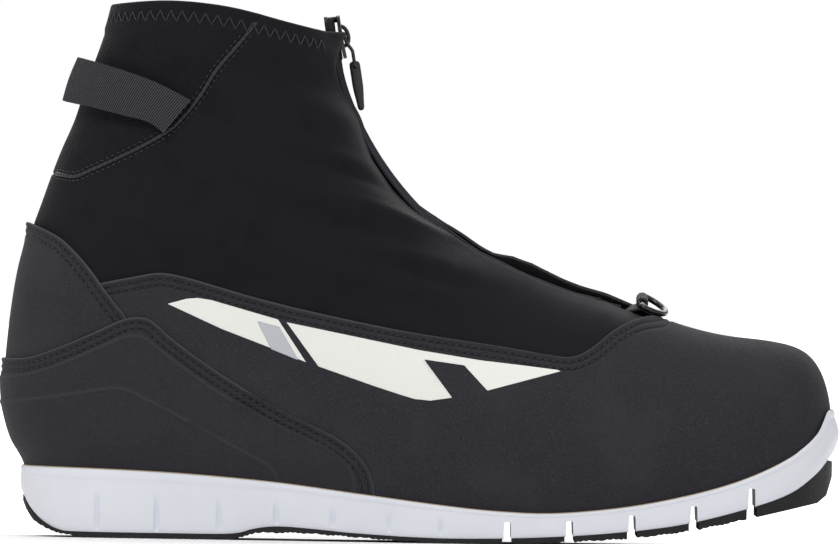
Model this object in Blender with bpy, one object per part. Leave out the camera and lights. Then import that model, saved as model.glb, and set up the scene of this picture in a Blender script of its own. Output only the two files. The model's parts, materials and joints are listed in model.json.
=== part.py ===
"""Cross country ski boot, right foot, EU size 42, as an assembly of separate sub-parts.

Metres, +Z up.  The toe points along +X and the lateral (outer) side of the foot is -Y.  The
origin lies on the ground under the middle of the heel tread.  Sizes here are in millimetres;
a mesh becomes metres when its object is made.

The upper is built from one base surface, the outside of the soft shell.  Each soft part is a
thin layer at its own depth under (or over) that surface, trimmed to its outline seen from the
side.  The sole parts are side profiles trimmed to the plan outline of the sole.
"""

import math

import bmesh
import bpy
import numpy as np
from mathutils import Vector

MM = 0.001
GAP = 0.3                       # clearance between neighbouring parts
FAR = 90.0                      # half the depth of a prism that passes through everything
SIDES = (("lateral", -1), ("medial", 1))

# ---------------------------------------------------------------- profile of the upper (x, z)
ZIP_CENTRE = Vector((178.0, 203.0))     # the zip follows an arc in front of the shin
ZIP_RADIUS = 115.0
ZIP_TOP, ZIP_BOTTOM = -166.5, -99.8     # ends of the zip tapes, degrees around ZIP_CENTRE
VAMP_LINE = ((162, 89.1), (176, 84.7), (190, 79.6), (205, 76.1), (222, 74.3), (233, 71.8),
             (238.5, 67.2), (242, 60), (244.2, 50.5), (244.3, 44))
BACK_LINE = ((-15.5, 197.5), (-20, 180), (-29, 155), (-41, 121), (-49, 95), (-53, 58),
             (-51.5, 42), (-48.5, 32), (-45.5, 22), (-43.5, 16))
FEATHER_LINE = ((-47, 25.4), (-11, 24.5), (17.6, 23.1), (46.5, 20.7), (75, 17.2), (104, 13.7),
                (125, 11.8), (147, 11.5), (176, 14.9), (205, 21.8), (226, 30.5), (238.8, 40),
                (243.7, 49.8))          # where the upper meets the top of the sole
SKIRT = 8.0                             # the base surface runs on this far below the feather line
UPPER_LIFT = 0.2                        # the upper's panels start this far above the feather line
COUNTER_TOP = ((-62, 26), (-62, 70), (-20, 66), (30, 48), (52, 30))
TOE_FRONT = ((250, 56), (250, 90))      # ahead of the toe, so that a toe panel reaches its tip

# ---------------------------------------------------------------- widths of the upper
FOOT_X = (-46, -20, 20, 60, 100, 140, 175, 205, 230, 250)
LATERAL_WIDTH = (36, 36, 36, 38, 45, 50, 50, 46, 43, 41)
MEDIAL_WIDTH = (36, 36, 35, 33.5, 42, 50, 52, 49, 46, 44)
SHAFT_Z = (70, 100, 130, 160, 192)
SHAFT_WIDTH = (40, 41, 38, 37.5, 39)
FRONT_ROUND_X = (65, 90, 130, 165, 190, 244)
FRONT_ROUND = (41, 48, 60, 58, 50, 42)  # how far from the front line the full width is reached
BACK_ROUND_Z = (60, 120)
BACK_ROUND = (32, 41)
TUCK, TUCK_HEIGHT = 2.5, 14.0           # the upper draws in just above the sole

# ---------------------------------------------------------------- depths of the layers
SHELL = (0.0, -1.6)
GAITER = (-0.4, -1.6)
COLLAR = (-0.1, -2.0)
STIFFENER = (-1.9, -3.4)
LINER = (-3.7, -6.4)
EYESTAY = (-2.2, -3.4)
OVERLAY = (1.5, 0.3)
PRINT = (0.6, 0.3)
LOOP_BAND = (2.6, 1.2)
LACE_ROOM = 7.8                         # extra depth of the liner and tongue under the zip
THROAT_HALF = 17.5                      # half the width of the liner's throat
EYESTAY_Y = (18.0, 26.0)

# ---------------------------------------------------------------- zip
TAPE_Y = (0.4, 5.5)
TAPE_DEPTH = (0.6, 1.6)
COIL_Y = (0.2, 2.4)
COIL_DEPTH = (1.9, 3.1)
ZIP_SLOT = 5.8                          # half the opening between the gaiter's two front edges
SLIDER_ENDS = (-173.6, -165.0)
BRIDGE_ANGLE = -169.0

# ---------------------------------------------------------------- sole
TREAD_LINE = ((-46.3, 13.8), (-44.5, 9.3), (-41.5, 5.6), (-37.5, 3.0), (-32.4, 1.4), (-27, 0.4),
              (-21.6, 0), (28.8, 0), (33, 0.8), (38, 2.6), (54, 2.8), (68, 2), (86, 0.8), (104, 0),
              (122, 0), (136, 0.3), (147.6, 1), (169, 2.5), (182, 4), (194, 5.8), (206, 8.4),
              (219.5, 11.6), (239.7, 16.5), (243, 19.3), (246.2, 34))   # flat under heel and ball
RUBBER_LINE = ((-47.1, 17.8), (-42.6, 9.2), (-32.4, 2.5), (-22, 1.9), (28, 2), (39, 4.5), (54, 4.6),
               (75.6, 2.8), (104, 1.7), (133, 2.3), (162, 4.2), (190.7, 7.9), (215.8, 14.4),
               (230, 19.7), (239, 26.3), (243.6, 31.8))     # white midsole above, rubber below
SLOTS = ((128.4, 8.0), (150.7, 8.7), (173.1, 11.1), (195.2, 14.8), (215.9, 21.4))
SLOT_TOP, SLOT_FOOT = 2.2, 3.6          # width of a flex slot at its top and at the tread
SOLE_PROUD = 1.4                        # the sidewall stands out past the upper
GROOVE_Y, GROOVE_WIDTH, GROOVE_DEPTH = 12.5, 5.5, 4.3
CORE_WIDTH, CORE_HEIGHT = 20.0, 3.4     # the rubber is thicker under the middle of the foot
CORE_X = (-34.0, 219.0)
FLEX_POINT = Vector((173.1, 14.9))      # forefoot hinge, at the top of the third slot
FLEX_REAR, FLEX_FRONT = 76.2, 50.0      # degrees: edges of the vamp's flexing wedge
TOE_BAR = Vector((234.0, 22.3))
BAR_RADIUS = 2.0
CAGE = ((226.0, 239.6), 15.4, (17.4, 30.6))     # x ends, half width, z ends
CAGE_CHANNEL, CAGE_WALL = 10.5, 3.0     # half width of the jaws' channel, wall around it
BAR_COVER = 1.2                         # plastic left beyond each end of the bar
BOARD, BOARD_INSET = (0.35, 2.2), 7.4   # heights over the top of the sole, and distance from its edge
INSOLE, INSOLE_INSET = (2.8, 6.6), 9.4
SHANK_X, SHANK_HALF = (4.5, 149.5), 14.0
SHANK_DEPTH = (-0.3, -2.3)

# ---------------------------------------------------------------- outlines seen from the side
COLLAR_TOP = ((-24, 190), (-17.5, 191.8), (4, 193.2), (26, 191.1), (47, 186.2), (60, 183.4),
              (72, 181.5))
COLLAR_HEIGHT = 9.0
HINGE_TOP, HINGE_FOOT = Vector((37.0, 190.0)), Vector((5.0, 143.5))
FLAP_FOOT = Vector((100.0, 122.0))
FLAP_RAISE = Vector((0.6, 1.0))         # room for the flap's lower edge to turn past the instep
ACHILLES_FOOT = ((-60, 131.5), (-38, 131), (-29, 129.6), (-14.8, 135.7), (5, 143.5))
BACK_TOP = ((-60, 118), (-45.8, 113), (-30.4, 104.6), (-18.7, 91.3))
BACK_SEAM = ((-18.7, 91.3), (-9.4, 79.1), (0, 60), (4, 10))
QUARTER_TOP = ((-18.7, 91.3), (2.4, 95.3), (23.7, 90.6), (58.1, 82.1), (88.8, 76.2), (123.3, 71.3),
               (146, 67.8), (157.7, 71.1), (166, 77.6), (177.5, 82.6), (182, 92))
CAP_TOP = ((-62, 64), (-43.6, 64.2), (-20.7, 73.8), (-5.9, 79.4), (8.3, 71), (25.2, 59.3),
           (45.3, 47.6), (65.4, 38), (75.5, 30), (80.7, 17.6), (81, 10))
REAR_FLASH = ((5.4, 84.3), (16, 86.6), (45.1, 79.3), (55.4, 64.1), (43, 68.9), (24.9, 75.6))
FRONT_FLASH = ((48.1, 78.4), (70.8, 74), (96.1, 69.1), (117.8, 65.8), (146.6, 62.3), (120.5, 55),
               (89.2, 53.1), (59.8, 62.7))
LOOP_TOP = ((-45, 174), (-29, 171.1), (-9.9, 167.1), (12.6, 157.4))
LOOP_FOOT = ((2.7, 145.7), (-9.6, 150.9), (-31.3, 155.2), (-45, 156.5))
LOOP_REACH, LOOP_LIFT = 40.0, 5.6       # the heel loop lifts off the shaft over this length

RING_BAR = Vector((175.8, 0.0, 88.0))   # middle of the D-ring's straight side
RING_WIRE, RING_HALF, RING_REACH = 1.1, 7.2, 7.6
RING_STEM = 2.4                         # straight part of the ring between its bar and its bow
RING_ROLL, RING_DROOP = math.radians(13), math.radians(14)
STRAP_HALF, STRAP_THICK = 3.0, 0.7

ROWS = 4                                # rows of lace loops
ROW_ANGLES = (-124.0, -157.0)           # lowest and highest row
LOOP_Y = 19.0
LACE_DEPTH, LACE_RADIUS = 7.7, 0.8


# ================================================================ curves and outlines
def smooth(points, per_span=4):
    """Catmull-Rom curve through the points."""
    given = [Vector(p) for p in points]
    given = [2 * given[0] - given[1]] + given + [2 * given[-1] - given[-2]]
    curve = []
    for a, b, c, d in zip(given, given[1:], given[2:], given[3:]):
        for step in range(per_span):
            t = step / per_span
            curve.append(0.5 * (2 * b + (c - a) * t + (2 * a - 5 * b + 4 * c - d) * t * t
                                + (3 * b - 3 * c + d - a) * t ** 3))
    curve.append(given[-2])
    return curve


def zip_arc(degrees, depth=0.0):
    """Point (x, z) on the zip's arc, or the given depth inside the boot."""
    a = math.radians(degrees)
    return ZIP_CENTRE + (ZIP_RADIUS + depth) * Vector((math.cos(a), math.sin(a)))


def height(line, x, lift=0.0):
    """z of a line at x, raised by lift."""
    return float(np.interp(x, line[:, 0], line[:, 1])) + lift


def stretch(line, x0, x1, lift=0.0):
    """The part of a line between x0 and x1, as points, raised by lift."""
    low, high = sorted((x0, x1))
    inner = [(x, z + lift) for x, z in line if low + 0.1 < x < high - 0.1]
    points = [(low, height(line, low, lift))] + inner + [(high, height(line, high, lift))]
    return points if x0 < x1 else points[::-1]


def along(line, fraction):
    """Point at a fraction of a line's length."""
    lengths = np.concatenate(([0], np.cumsum(np.hypot(*np.diff(line, axis=0).T))))
    at = fraction * lengths[-1]
    return Vector((np.interp(at, lengths, line[:, 0]), np.interp(at, lengths, line[:, 1])))


def distance(x, z, line):
    """Shortest distance from a point to a line."""
    start, step = line[:-1], np.diff(line, axis=0)
    to = np.array((x, z)) - start
    t = np.clip((to * step).sum(1) / (step ** 2).sum(1), 0, 1)
    return float(np.hypot(*(to - t[:, None] * step).T).min())


def smoothstep(low, high, value):
    t = min(max((value - low) / (high - low), 0.0), 1.0)
    return t * t * (3 - 2 * t)


def grow(outline, amount):
    """Move a closed outline outward (or inward, if negative) by the amount."""
    points = [Vector(p) for p in outline]
    area = sum(a.x * b.y - b.x * a.y for a, b in zip(points, points[1:] + points[:1]))
    sign = 1 if area > 0 else -1
    moved = []
    for before, point, after in zip(points[-1:] + points, points, points[1:] + points[:1]):
        first, second = (point - before).normalized(), (after - point).normalized()
        n1, n2 = Vector((first.y, -first.x)), Vector((second.y, -second.x))
        miter = (n1 + n2) / max(0.4, 1 + n1.dot(n2))
        moved.append(point + sign * amount * miter)
    return moved


def line_array(points):
    return np.array([tuple(p) for p in points], dtype=float)


FRONT = line_array([zip_arc(a) for a in range(-176, -98, 3)] + smooth(VAMP_LINE))
BACK = line_array(smooth(BACK_LINE))
FEATHER = line_array(smooth(FEATHER_LINE, 2))
TREAD = line_array(TREAD_LINE)
RUBBER = line_array(smooth(RUBBER_LINE, 2))


# ================================================================ base surface of the upper
def full_width(x, z, side):
    """Half width of the upper before its front and back are rounded off."""
    foot = np.interp(x, FOOT_X, LATERAL_WIDTH if side < 0 else MEDIAL_WIDTH)
    shaft = np.interp(z, SHAFT_Z, SHAFT_WIDTH)
    rise = smoothstep(45, 105, z) * (1 - smoothstep(120, 190, x))
    low = 1 - min(max((z - height(FEATHER, x)) / TUCK_HEIGHT, 0.0), 1.0)
    return float(foot + (shaft - foot) * rise - TUCK * low * low)


def front_round(x):
    return float(np.interp(x, FRONT_ROUND_X, FRONT_ROUND))


def back_round(z):
    return float(np.interp(z, BACK_ROUND_Z, BACK_ROUND))


def rounded(t):
    return math.sqrt(max(0.0, 1 - (1 - min(t, 1.0)) ** 2))


def half_width(x, z, side):
    """Distance of the upper's outside from the centre plane, at a point seen from the side."""
    front = rounded(distance(x, z, FRONT) / front_round(x))
    back = rounded(distance(x, z, BACK) / back_round(z))
    return full_width(x, z, side) * front * back


CLOSED_STATIONS, OPEN_STATIONS = 8, 14
FADE_STATIONS = 4                       # open stations over which the closed spacing fades out
ROUND_STEPS = 4                         # samples over one rounded quarter of a closed row
SAMPLES = 2 * ROUND_STEPS + 2           # samples of a row on each side of the front line


def row_distances(length, closed, x, z):
    """Distances of a row's samples from the front line, denser where the surface turns.

    closed is 1 for a row that ends on the back line and 0 for one that ends at the sole.
    """
    open_row = [length * (1 - math.cos(math.pi / 2 * j / SAMPLES)) for j in range(SAMPLES + 1)]
    quarter = [1 - math.cos(math.pi / 2 * j / ROUND_STEPS) for j in range(ROUND_STEPS + 1)]
    front, back = front_round(x), back_round(z)
    fit = min(1.0, (length - 2) / (front + back))
    closed_row = [fit * front * q for q in quarter] + [(length + fit * (front - back)) / 2]
    closed_row += [length - fit * back * q for q in reversed(quarter)]
    return [closed * c + (1 - closed) * o for c, o in zip(closed_row, open_row)]


def station_rows():
    """Rows of points across the upper, from the collar to the toe.

    A row runs from its rear end on the lateral side, over the front line, to its rear end on
    the medial side.  The first rows end on the back line, the others on the skirt line.
    """
    corner = zip_arc(-115.0)
    shin = line_array([zip_arc(a) for a in np.linspace(-173.5, -115.0, 20)])
    instep = line_array([corner] + [zip_arc(a) for a in range(-112, -98, 3)] + smooth(VAMP_LINE))
    skirt = line_array([BACK[-1]] + [(x, z - SKIRT) for x, z in FEATHER if x > -36] + [FRONT[-1]])
    ends = [(along(shin, k / CLOSED_STATIONS), along(BACK, k / CLOSED_STATIONS), 1.0)
            for k in range(CLOSED_STATIONS + 1)]
    for k in range(1, OPEN_STATIONS):
        s = k / OPEN_STATIONS
        rear = along(skirt, (1 - math.cos(math.pi * s)) / 2)
        ends.append((along(instep, s), rear, max(0.0, 1 - k / FADE_STATIONS)))
    rows = []
    for top, rear, closed in ends:
        length = (rear - top).length
        reached = row_distances(length, closed, top.x, rear.y)
        row = []
        for j in range(-SAMPLES, SAMPLES + 1):
            x, z = top.lerp(rear, reached[abs(j)] / length)
            side = -1 if j < 0 else 1
            row.append((x, side * half_width(x, z, side), z))
        rows.append(row)
    return rows


def base_surface():
    """Points, outward normals and triangles of the base surface."""
    points, rows = [], []
    for k, row in enumerate(station_rows()):
        numbers = list(range(len(points), len(points) + len(row)))
        points += row
        if k <= CLOSED_STATIONS:                  # both ends are one point on the back line
            points.pop()
            numbers[-1] = numbers[0]
        rows.append(numbers)
    tip = len(points)
    points.append((FRONT[-1][0], 0.0, FRONT[-1][1]))
    rows.append([tip] * (2 * SAMPLES + 1))
    triangles = []
    for near, far in zip(rows, rows[1:]):
        for a, b, c, d in zip(near, near[1:], far[1:], far):
            triangles += [t for t in ((a, b, c), (a, c, d)) if len(set(t)) == 3]
    places = np.array(points)
    corners = places[np.array(triangles)]
    face_normals = np.cross(corners[:, 1] - corners[:, 0], corners[:, 2] - corners[:, 0])
    normals = np.zeros_like(places)
    for corner in range(3):
        np.add.at(normals, np.array(triangles)[:, corner], face_normals)
    normals /= np.linalg.norm(normals, axis=1)[:, None]
    if normals[places[:, 1].argmax(), 1] < 0:
        normals = -normals
        triangles = [t[::-1] for t in triangles]
    return places, normals, triangles


POINTS, NORMALS, TRIANGLES = base_surface()


# ================================================================ objects
def make_object(name, vertices, faces):
    """Mesh object from millimetres, its faces turned outward."""
    mesh = bpy.data.meshes.new(name)
    bm = bmesh.new()
    made = [bm.verts.new(Vector(v) * MM) for v in vertices]
    for face in faces:
        bm.faces.new([made[i] for i in face])
    bmesh.ops.recalc_face_normals(bm, faces=bm.faces)
    if bm.calc_volume(signed=True) < 0:
        bmesh.ops.reverse_faces(bm, faces=bm.faces)
    bm.to_mesh(mesh)
    bm.free()
    thing = bpy.data.objects.new(name, mesh)
    bpy.context.scene.collection.objects.link(thing)
    return thing


def layer(offsets, depth=None):
    """Closed shell between two offsets of the base surface, both deeper by depth(x, z)."""
    extra = np.array([depth(x, z) if depth else 0.0 for x, _, z in POINTS])[:, None]
    vertices = np.vstack([POINTS + NORMALS * (offset - extra) for offset in offsets])
    count = len(POINTS)
    faces = list(TRIANGLES) + [tuple(i + count for i in t[::-1]) for t in TRIANGLES]
    edges = {(a, b) for t in TRIANGLES for a, b in zip(t, t[1:] + t[:1])}
    faces += [(b, a, a + count, b + count) for a, b in edges if (b, a) not in edges]
    return make_object("layer", vertices, faces)


def lace_room(x, z):
    """Extra depth of the liner and tongue, full under the zip and none away from it."""
    near_front = 1 - smoothstep(20, 44, distance(x, z, FRONT))
    return LACE_ROOM * near_front * (1 - smoothstep(150, 185, x))


def loft(name, rings, closed=False):
    """Solid through equal rings of points; closed joins the last ring to the first."""
    size = len(rings[0])
    faces = []
    for k in range(len(rings) if closed else len(rings) - 1):
        base, following = k * size, (k + 1) % len(rings) * size
        faces += [(base + i, base + (i + 1) % size, following + (i + 1) % size, following + i)
                  for i in range(size)]
    if not closed:
        faces += [tuple(range(size)), tuple(range((len(rings) - 1) * size, len(rings) * size))]
    return make_object(name, [p for ring in rings for p in ring], faces)


def prism(outline, y0=-FAR, y1=FAR, name="prism"):
    """An outline seen from the side, extruded across the boot."""
    return loft(name, [[(x, y, z) for x, z in outline] for y in (y0, y1)])


def plan_prism(outline, z0=-FAR, z1=FAR, name="plan"):
    """An outline seen from above, extruded upward."""
    return loft(name, [[(x, y, z) for x, y in outline] for z in (z0, z1)])


def box(low, high, name="box"):
    (x0, y0, z0), (x1, y1, z1) = low, high
    return prism(((x0, z0), (x1, z0), (x1, z1), (x0, z1)), y0, y1, name)


def tube(name, path, radius, closed=False, sides=6):
    """Round bar along a path of points; a closed path lies in one plane, so it needs no untwisting."""
    points = [Vector(p) for p in path]
    count = len(points)
    turns = [2 * math.pi * (i + 0.5) / sides for i in range(sides)]
    rings, side = [], None
    for k, point in enumerate(points):
        before = points[(k - 1) % count] if closed or k else point
        after = points[(k + 1) % count] if closed or k < count - 1 else point
        direction = (after - before).normalized()
        if side is None:
            side = direction.orthogonal().normalized()
        side = (side - direction * side.dot(direction)).normalized()
        across = direction.cross(side)
        rings.append([point + radius * (math.cos(t) * side + math.sin(t) * across) for t in turns])
    return loft(name, rings, closed)


def boolean(target, operation, cutter):
    """Apply an exact Boolean to the target and remove the cutter."""
    modifier = target.modifiers.new(operation.lower(), 'BOOLEAN')
    modifier.operation = operation
    modifier.object = cutter
    modifier.solver = 'EXACT'
    evaluated = target.evaluated_get(bpy.context.evaluated_depsgraph_get())
    result = bpy.data.meshes.new_from_object(evaluated)
    target.modifiers.clear()
    target.data = result
    bpy.data.objects.remove(cutter)
    return target


def cut(target, *cutters):
    for cutter in cutters:
        boolean(target, 'DIFFERENCE', cutter)
    return target


def trim(name, target, *limits):
    """Keep what lies inside every limit, under the given name."""
    for limit in limits:
        boolean(target, 'INTERSECT', limit)
    target.name = name
    return target


def panel(name, shell, outline, y0=-FAR, y1=FAR):
    """Piece of a layer inside an outline, with half the usual gap all round."""
    return trim(name, shell, prism(grow(outline, -GAP / 2), y0, y1))


# ================================================================ materials
def display_colour(red, green, blue):
    """Display values, 11 to 255, as the linear values that a shader takes."""
    return [((c / 255 + 0.055) / 1.055) ** 2.4 for c in (red, green, blue)]


def make_material(name, colour, roughness, metallic=0.0):
    """Plain material of one colour."""
    material = bpy.data.materials.new(name)
    material.use_nodes = True
    shader = material.node_tree.nodes["Principled BSDF"]
    shader.inputs["Base Color"].default_value = (*display_colour(*colour), 1)
    shader.inputs["Roughness"].default_value = roughness
    shader.inputs["Metallic"].default_value = metallic
    return material


FINISHES = {
    "softshell": ((52, 51, 55), 0.85), "stretch_fabric": ((26, 26, 31), 0.9),
    "ribbed_fabric": ((22, 22, 26), 0.9), "webbing": ((38, 38, 42), 0.85),
    "coated_fabric": ((44, 43, 48), 0.7), "lining": ((58, 58, 62), 0.95),
    "stiffener_board": ((120, 112, 98), 0.9), "foam": ((70, 72, 78), 0.95),
    "white_sole": ((222, 223, 227), 0.45), "rubber": ((24, 24, 26), 0.7),
    "shank_composite": ((30, 32, 36), 0.5), "moulded_plastic": ((28, 28, 30), 0.4),
    "zip_coil": ((20, 20, 22), 0.5), "black_metal": ((18, 18, 20), 0.25, 0.9),
    "steel": ((170, 172, 176), 0.3, 1.0), "white_print": ((233, 234, 228), 0.5),
    "lace_cord": ((60, 60, 64), 0.85),
}


def finish(thing, slot):
    """Give a part its material; round parts are shaded smooth."""
    material = bpy.data.materials.get(slot) or make_material(slot, *FINISHES[slot])
    thing.data.materials.clear()
    thing.data.materials.append(material)
    thing.data.shade_smooth()
    thing.data.set_sharp_from_angle(angle=math.radians(35))
    return thing


# ================================================================ upper
def above_sole(x0, x1, lift):
    """The line where the upper meets the sole, raised by lift."""
    return stretch(FEATHER, x0, x1, lift)


def flex_ray(degrees, reach):
    """Point (x, z) at a distance from the flex point, in a direction seen from the side."""
    a = math.radians(degrees)
    return FLEX_POINT + reach * Vector((math.cos(a), math.sin(a)))


def lower_upper():
    """Softshell panels: quarter, flexing part of the vamp, toe, back panel and heel cap."""
    lift = UPPER_LIFT
    flex_x = FLEX_POINT.x
    quarter = list(BACK_SEAM[:-1]) + above_sole(3, flex_x - 0.2, lift) + [flex_ray(FLEX_REAR, 82)]
    quarter += smooth(QUARTER_TOP)[::-1][:-1]
    finish(panel("quarter_shell", layer(SHELL), quarter), "softshell")
    wedge = [(flex_x + 0.2, height(FEATHER, flex_x, lift + 0.4)), flex_ray(FLEX_FRONT, 100),
             flex_ray(FLEX_REAR, 82)]
    finish(panel("vamp_flex_zone", layer(SHELL), wedge), "softshell")
    toe = above_sole(flex_x + 1.5, 243.7, lift) + list(TOE_FRONT) + [flex_ray(FLEX_FRONT, 100)]
    finish(panel("toe_shell", layer(SHELL), toe), "softshell")
    back = list(BACK_TOP) + list(BACK_SEAM[1:-1]) + above_sole(3, -47, lift) + [(-62, 26)]
    finish(panel("back_panel", layer(SHELL), back), "softshell")
    cap = smooth(CAP_TOP[:-1], 3) + above_sole(80.9, -47, lift) + [(-62, 26)]
    finish(panel("heel_cap", layer(OVERLAY), cap), "coated_fabric")


def stiffeners():
    """Moulded boards inside the shell: the cup around the heel and the cap over the toes."""
    counter = list(COUNTER_TOP) + above_sole(55, -47, UPPER_LIFT)
    finish(panel("heel_counter", layer(STIFFENER), counter), "stiffener_board")
    puff = above_sole(212, 243.7, UPPER_LIFT) + list(TOE_FRONT) + [(226, 90)]
    finish(panel("toe_puff", layer(STIFFENER), puff), "stiffener_board")


def split_at(line, x):
    """The points of a line behind x, and those ahead of it."""
    return [p for p in line if p[0] < x], [p for p in line if p[0] > x]


def zip_slot(half):
    """Cutter that opens a soft layer along the zip."""
    inner = [zip_arc(a, 16) for a in np.linspace(-178, -98, 22)]
    outer = [zip_arc(a, -12) for a in np.linspace(-98, -178, 22)]
    return prism(inner + outer, -half, half)


def gaiter():
    """Gaiter: the two opening flaps, the lower sides, the Achilles panel and the collar hem.

    The hinge line of the flaps runs up the seam of the Achilles panel and splits the hem too.
    """
    hem_foot = [(x, z - COLLAR_HEIGHT) for x, z in COLLAR_TOP]
    hem_foot_rear, hem_foot_front = split_at(hem_foot, HINGE_TOP.x - 5)
    hem_top_rear, hem_top_front = split_at(COLLAR_TOP, HINGE_TOP.x - 5)
    seam_top = HINGE_TOP.lerp(HINGE_FOOT, 0.17)
    hem_joint = HINGE_TOP + Vector((1.3, -1.1))
    achilles_foot = list(smooth(ACHILLES_FOOT, 2))
    flap = [HINGE_FOOT + FLAP_RAISE, FLAP_FOOT + FLAP_RAISE, (100, 170), (76, hem_foot[-1][1])]
    flap += hem_foot_front[::-1] + [seam_top]
    instep = achilles_foot + [FLAP_FOOT, (140, 112), (182, 94)]
    instep += smooth(QUARTER_TOP)[::-1][1:] + list(BACK_TOP)[::-1][1:]
    hem_front = [seam_top] + hem_foot_front + hem_top_front[::-1] + [hem_joint]
    hem_rear = hem_foot_rear + [seam_top, hem_joint] + hem_top_rear[::-1]
    for side_name, y0, y1 in (("lateral", -FAR, -GAP / 2), ("medial", GAP / 2, FAR)):
        for name, depths, outline in (("gaiter_flap", GAITER, flap), ("gaiter_instep", GAITER, instep),
                                      ("collar_band", COLLAR, hem_front)):
            part = panel(f"{name}_{side_name}", layer(depths), outline, y0, y1)
            finish(cut(part, zip_slot(ZIP_SLOT)), "stretch_fabric")
    achilles = achilles_foot + [seam_top] + hem_foot_rear[::-1] + [(-60, 181)]
    finish(panel("achilles_panel", layer(GAITER), achilles), "ribbed_fabric")
    finish(panel("collar_band_rear", layer(COLLAR), hem_rear), "stretch_fabric")


def inner_boot():
    """Padded lining with a throat, its tongue, and the eyestays that carry the lace loops."""
    far_in, over = 40, -12                  # depths under and over the zip's arc
    liner = [(-60, 160), (0, 153), (100, 153), (190, 110), (250, 90), (250, 56)]
    liner += stretch(FEATHER, 242, -47, 2.7) + [(-60, 28)]
    throat = [zip_arc(a, far_in) for a in np.linspace(-178, -116, 12)]
    throat += [zip_arc(-112, 18), zip_arc(-116, over), (70, 180)]
    part = panel("liner", layer(LINER, lace_room), liner)
    finish(cut(part, prism(throat, -THROAT_HALF, THROAT_HALF)), "lining")
    tongue = [zip_arc(a, far_in) for a in np.linspace(-163, -116, 10)]
    tongue += [zip_arc(-113, 18), zip_arc(-116, over)]
    tongue += [zip_arc(a, over) for a in np.linspace(-125, -163, 6)]
    tongue_half = THROAT_HALF - GAP
    finish(panel("tongue", layer(LINER, lace_room), tongue, -tongue_half, tongue_half), "lining")
    stay = [zip_arc(a, far_in) for a in np.linspace(-160, -119, 10)]
    stay += [zip_arc(a, -5) for a in (-119, -140, -160)]
    inner, outer = EYESTAY_Y
    for side_name, y0, y1 in (("lateral", -outer, -inner), ("medial", inner, outer)):
        part = trim(f"eyestay_{side_name}", layer(EYESTAY, lace_room), prism(stay, y0, y1))
        finish(part, "coated_fabric")


def under_zip(degrees, y, depth):
    """Point a depth under the base surface, beside the zip's arc."""
    ridge = zip_arc(degrees)
    width, reach = full_width(ridge.x, ridge.y, y), front_round(ridge.x)
    root = math.sqrt(max(1e-6, 1 - (y / width) ** 2))
    drop = reach * (1 - root)
    tilt = math.atan(reach * y / (width * width * root))
    x, z = zip_arc(degrees, drop + depth * math.cos(tilt))
    return Vector((x, y - depth * math.sin(tilt), z))


def lacing():
    """Eight lace loops and one lace, crossed between the rows."""
    rows = np.linspace(*ROW_ANGLES, ROWS)
    for side_name, side in SIDES:
        for k, angle in enumerate(rows):
            middle = under_zip(angle, side * LOOP_Y, LACE_DEPTH)
            up = (under_zip(angle, side * LOOP_Y, LACE_DEPTH - 1) - middle).normalized()
            lengthwise = (under_zip(angle - 1, side * LOOP_Y, LACE_DEPTH) - middle).normalized()
            across = lengthwise.cross(up)
            turns = [2 * math.pi * i / 10 for i in range(10)]
            ring = [middle + 2.6 * math.cos(t) * across + 1.75 * math.sin(t) * up for t in turns]
            finish(tube(f"lace_loop_{side_name}_{k + 1}", ring, 0.45, closed=True, sides=4), "webbing")
    path = [under_zip(rows[-1] - 12, 7, LACE_DEPTH), under_zip(rows[-1] - 6, 14, LACE_DEPTH)]
    half_row = (rows[1] - rows[0]) / 2
    for k in range(ROWS - 1, -1, -1):             # down through the rows
        side = 1 if (ROWS - 1 - k) % 2 == 0 else -1
        path += [under_zip(rows[k] + t, side * LOOP_Y, LACE_DEPTH) for t in (-1.0, 1.0)]
        if k:
            path.append(under_zip(rows[k] - half_row, 0, LACE_DEPTH + 1.6))
    path.append(under_zip(rows[0] + 3.2, 0, LACE_DEPTH + 0.6))
    for k in range(ROWS):                         # and back up on the other sides
        side = -1 if (ROWS - 1 - k) % 2 == 0 else 1
        path += [under_zip(rows[k] + t, side * LOOP_Y, LACE_DEPTH) for t in (1.0, -1.0)]
        if k < ROWS - 1:
            path.append(under_zip(rows[k] + half_row, 0, LACE_DEPTH - 0.9))
    path += [under_zip(rows[-1] - 6, -14, LACE_DEPTH), under_zip(rows[-1] - 12, -7, LACE_DEPTH)]
    finish(tube("lace", path, LACE_RADIUS, sides=5), "lace_cord")


# ================================================================ zip
def zip_strip(name, ys, depths, side, steps=18):
    """Strip along one side of the zip, between two distances from its middle and two depths."""
    rings = [[under_zip(a, side * y, depth) for y, depth in
              ((ys[0], depths[0]), (ys[1], depths[0]), (ys[1], depths[1]), (ys[0], depths[1]))]
             for a in np.linspace(ZIP_TOP, ZIP_BOTTOM, steps)]
    return loft(name, rings)


def arc_block(ends, half, depths, steps=4, name="block"):
    """Block that follows the zip's arc, between two depths."""
    rings = [[(*zip_arc(a, d), y) for d, y in
              ((depths[0], -half), (depths[0], half), (depths[1], half), (depths[1], -half))]
             for a in np.linspace(*ends, steps)]
    return loft(name, [[(x, y, z) for x, z, y in ring] for ring in rings])


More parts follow.
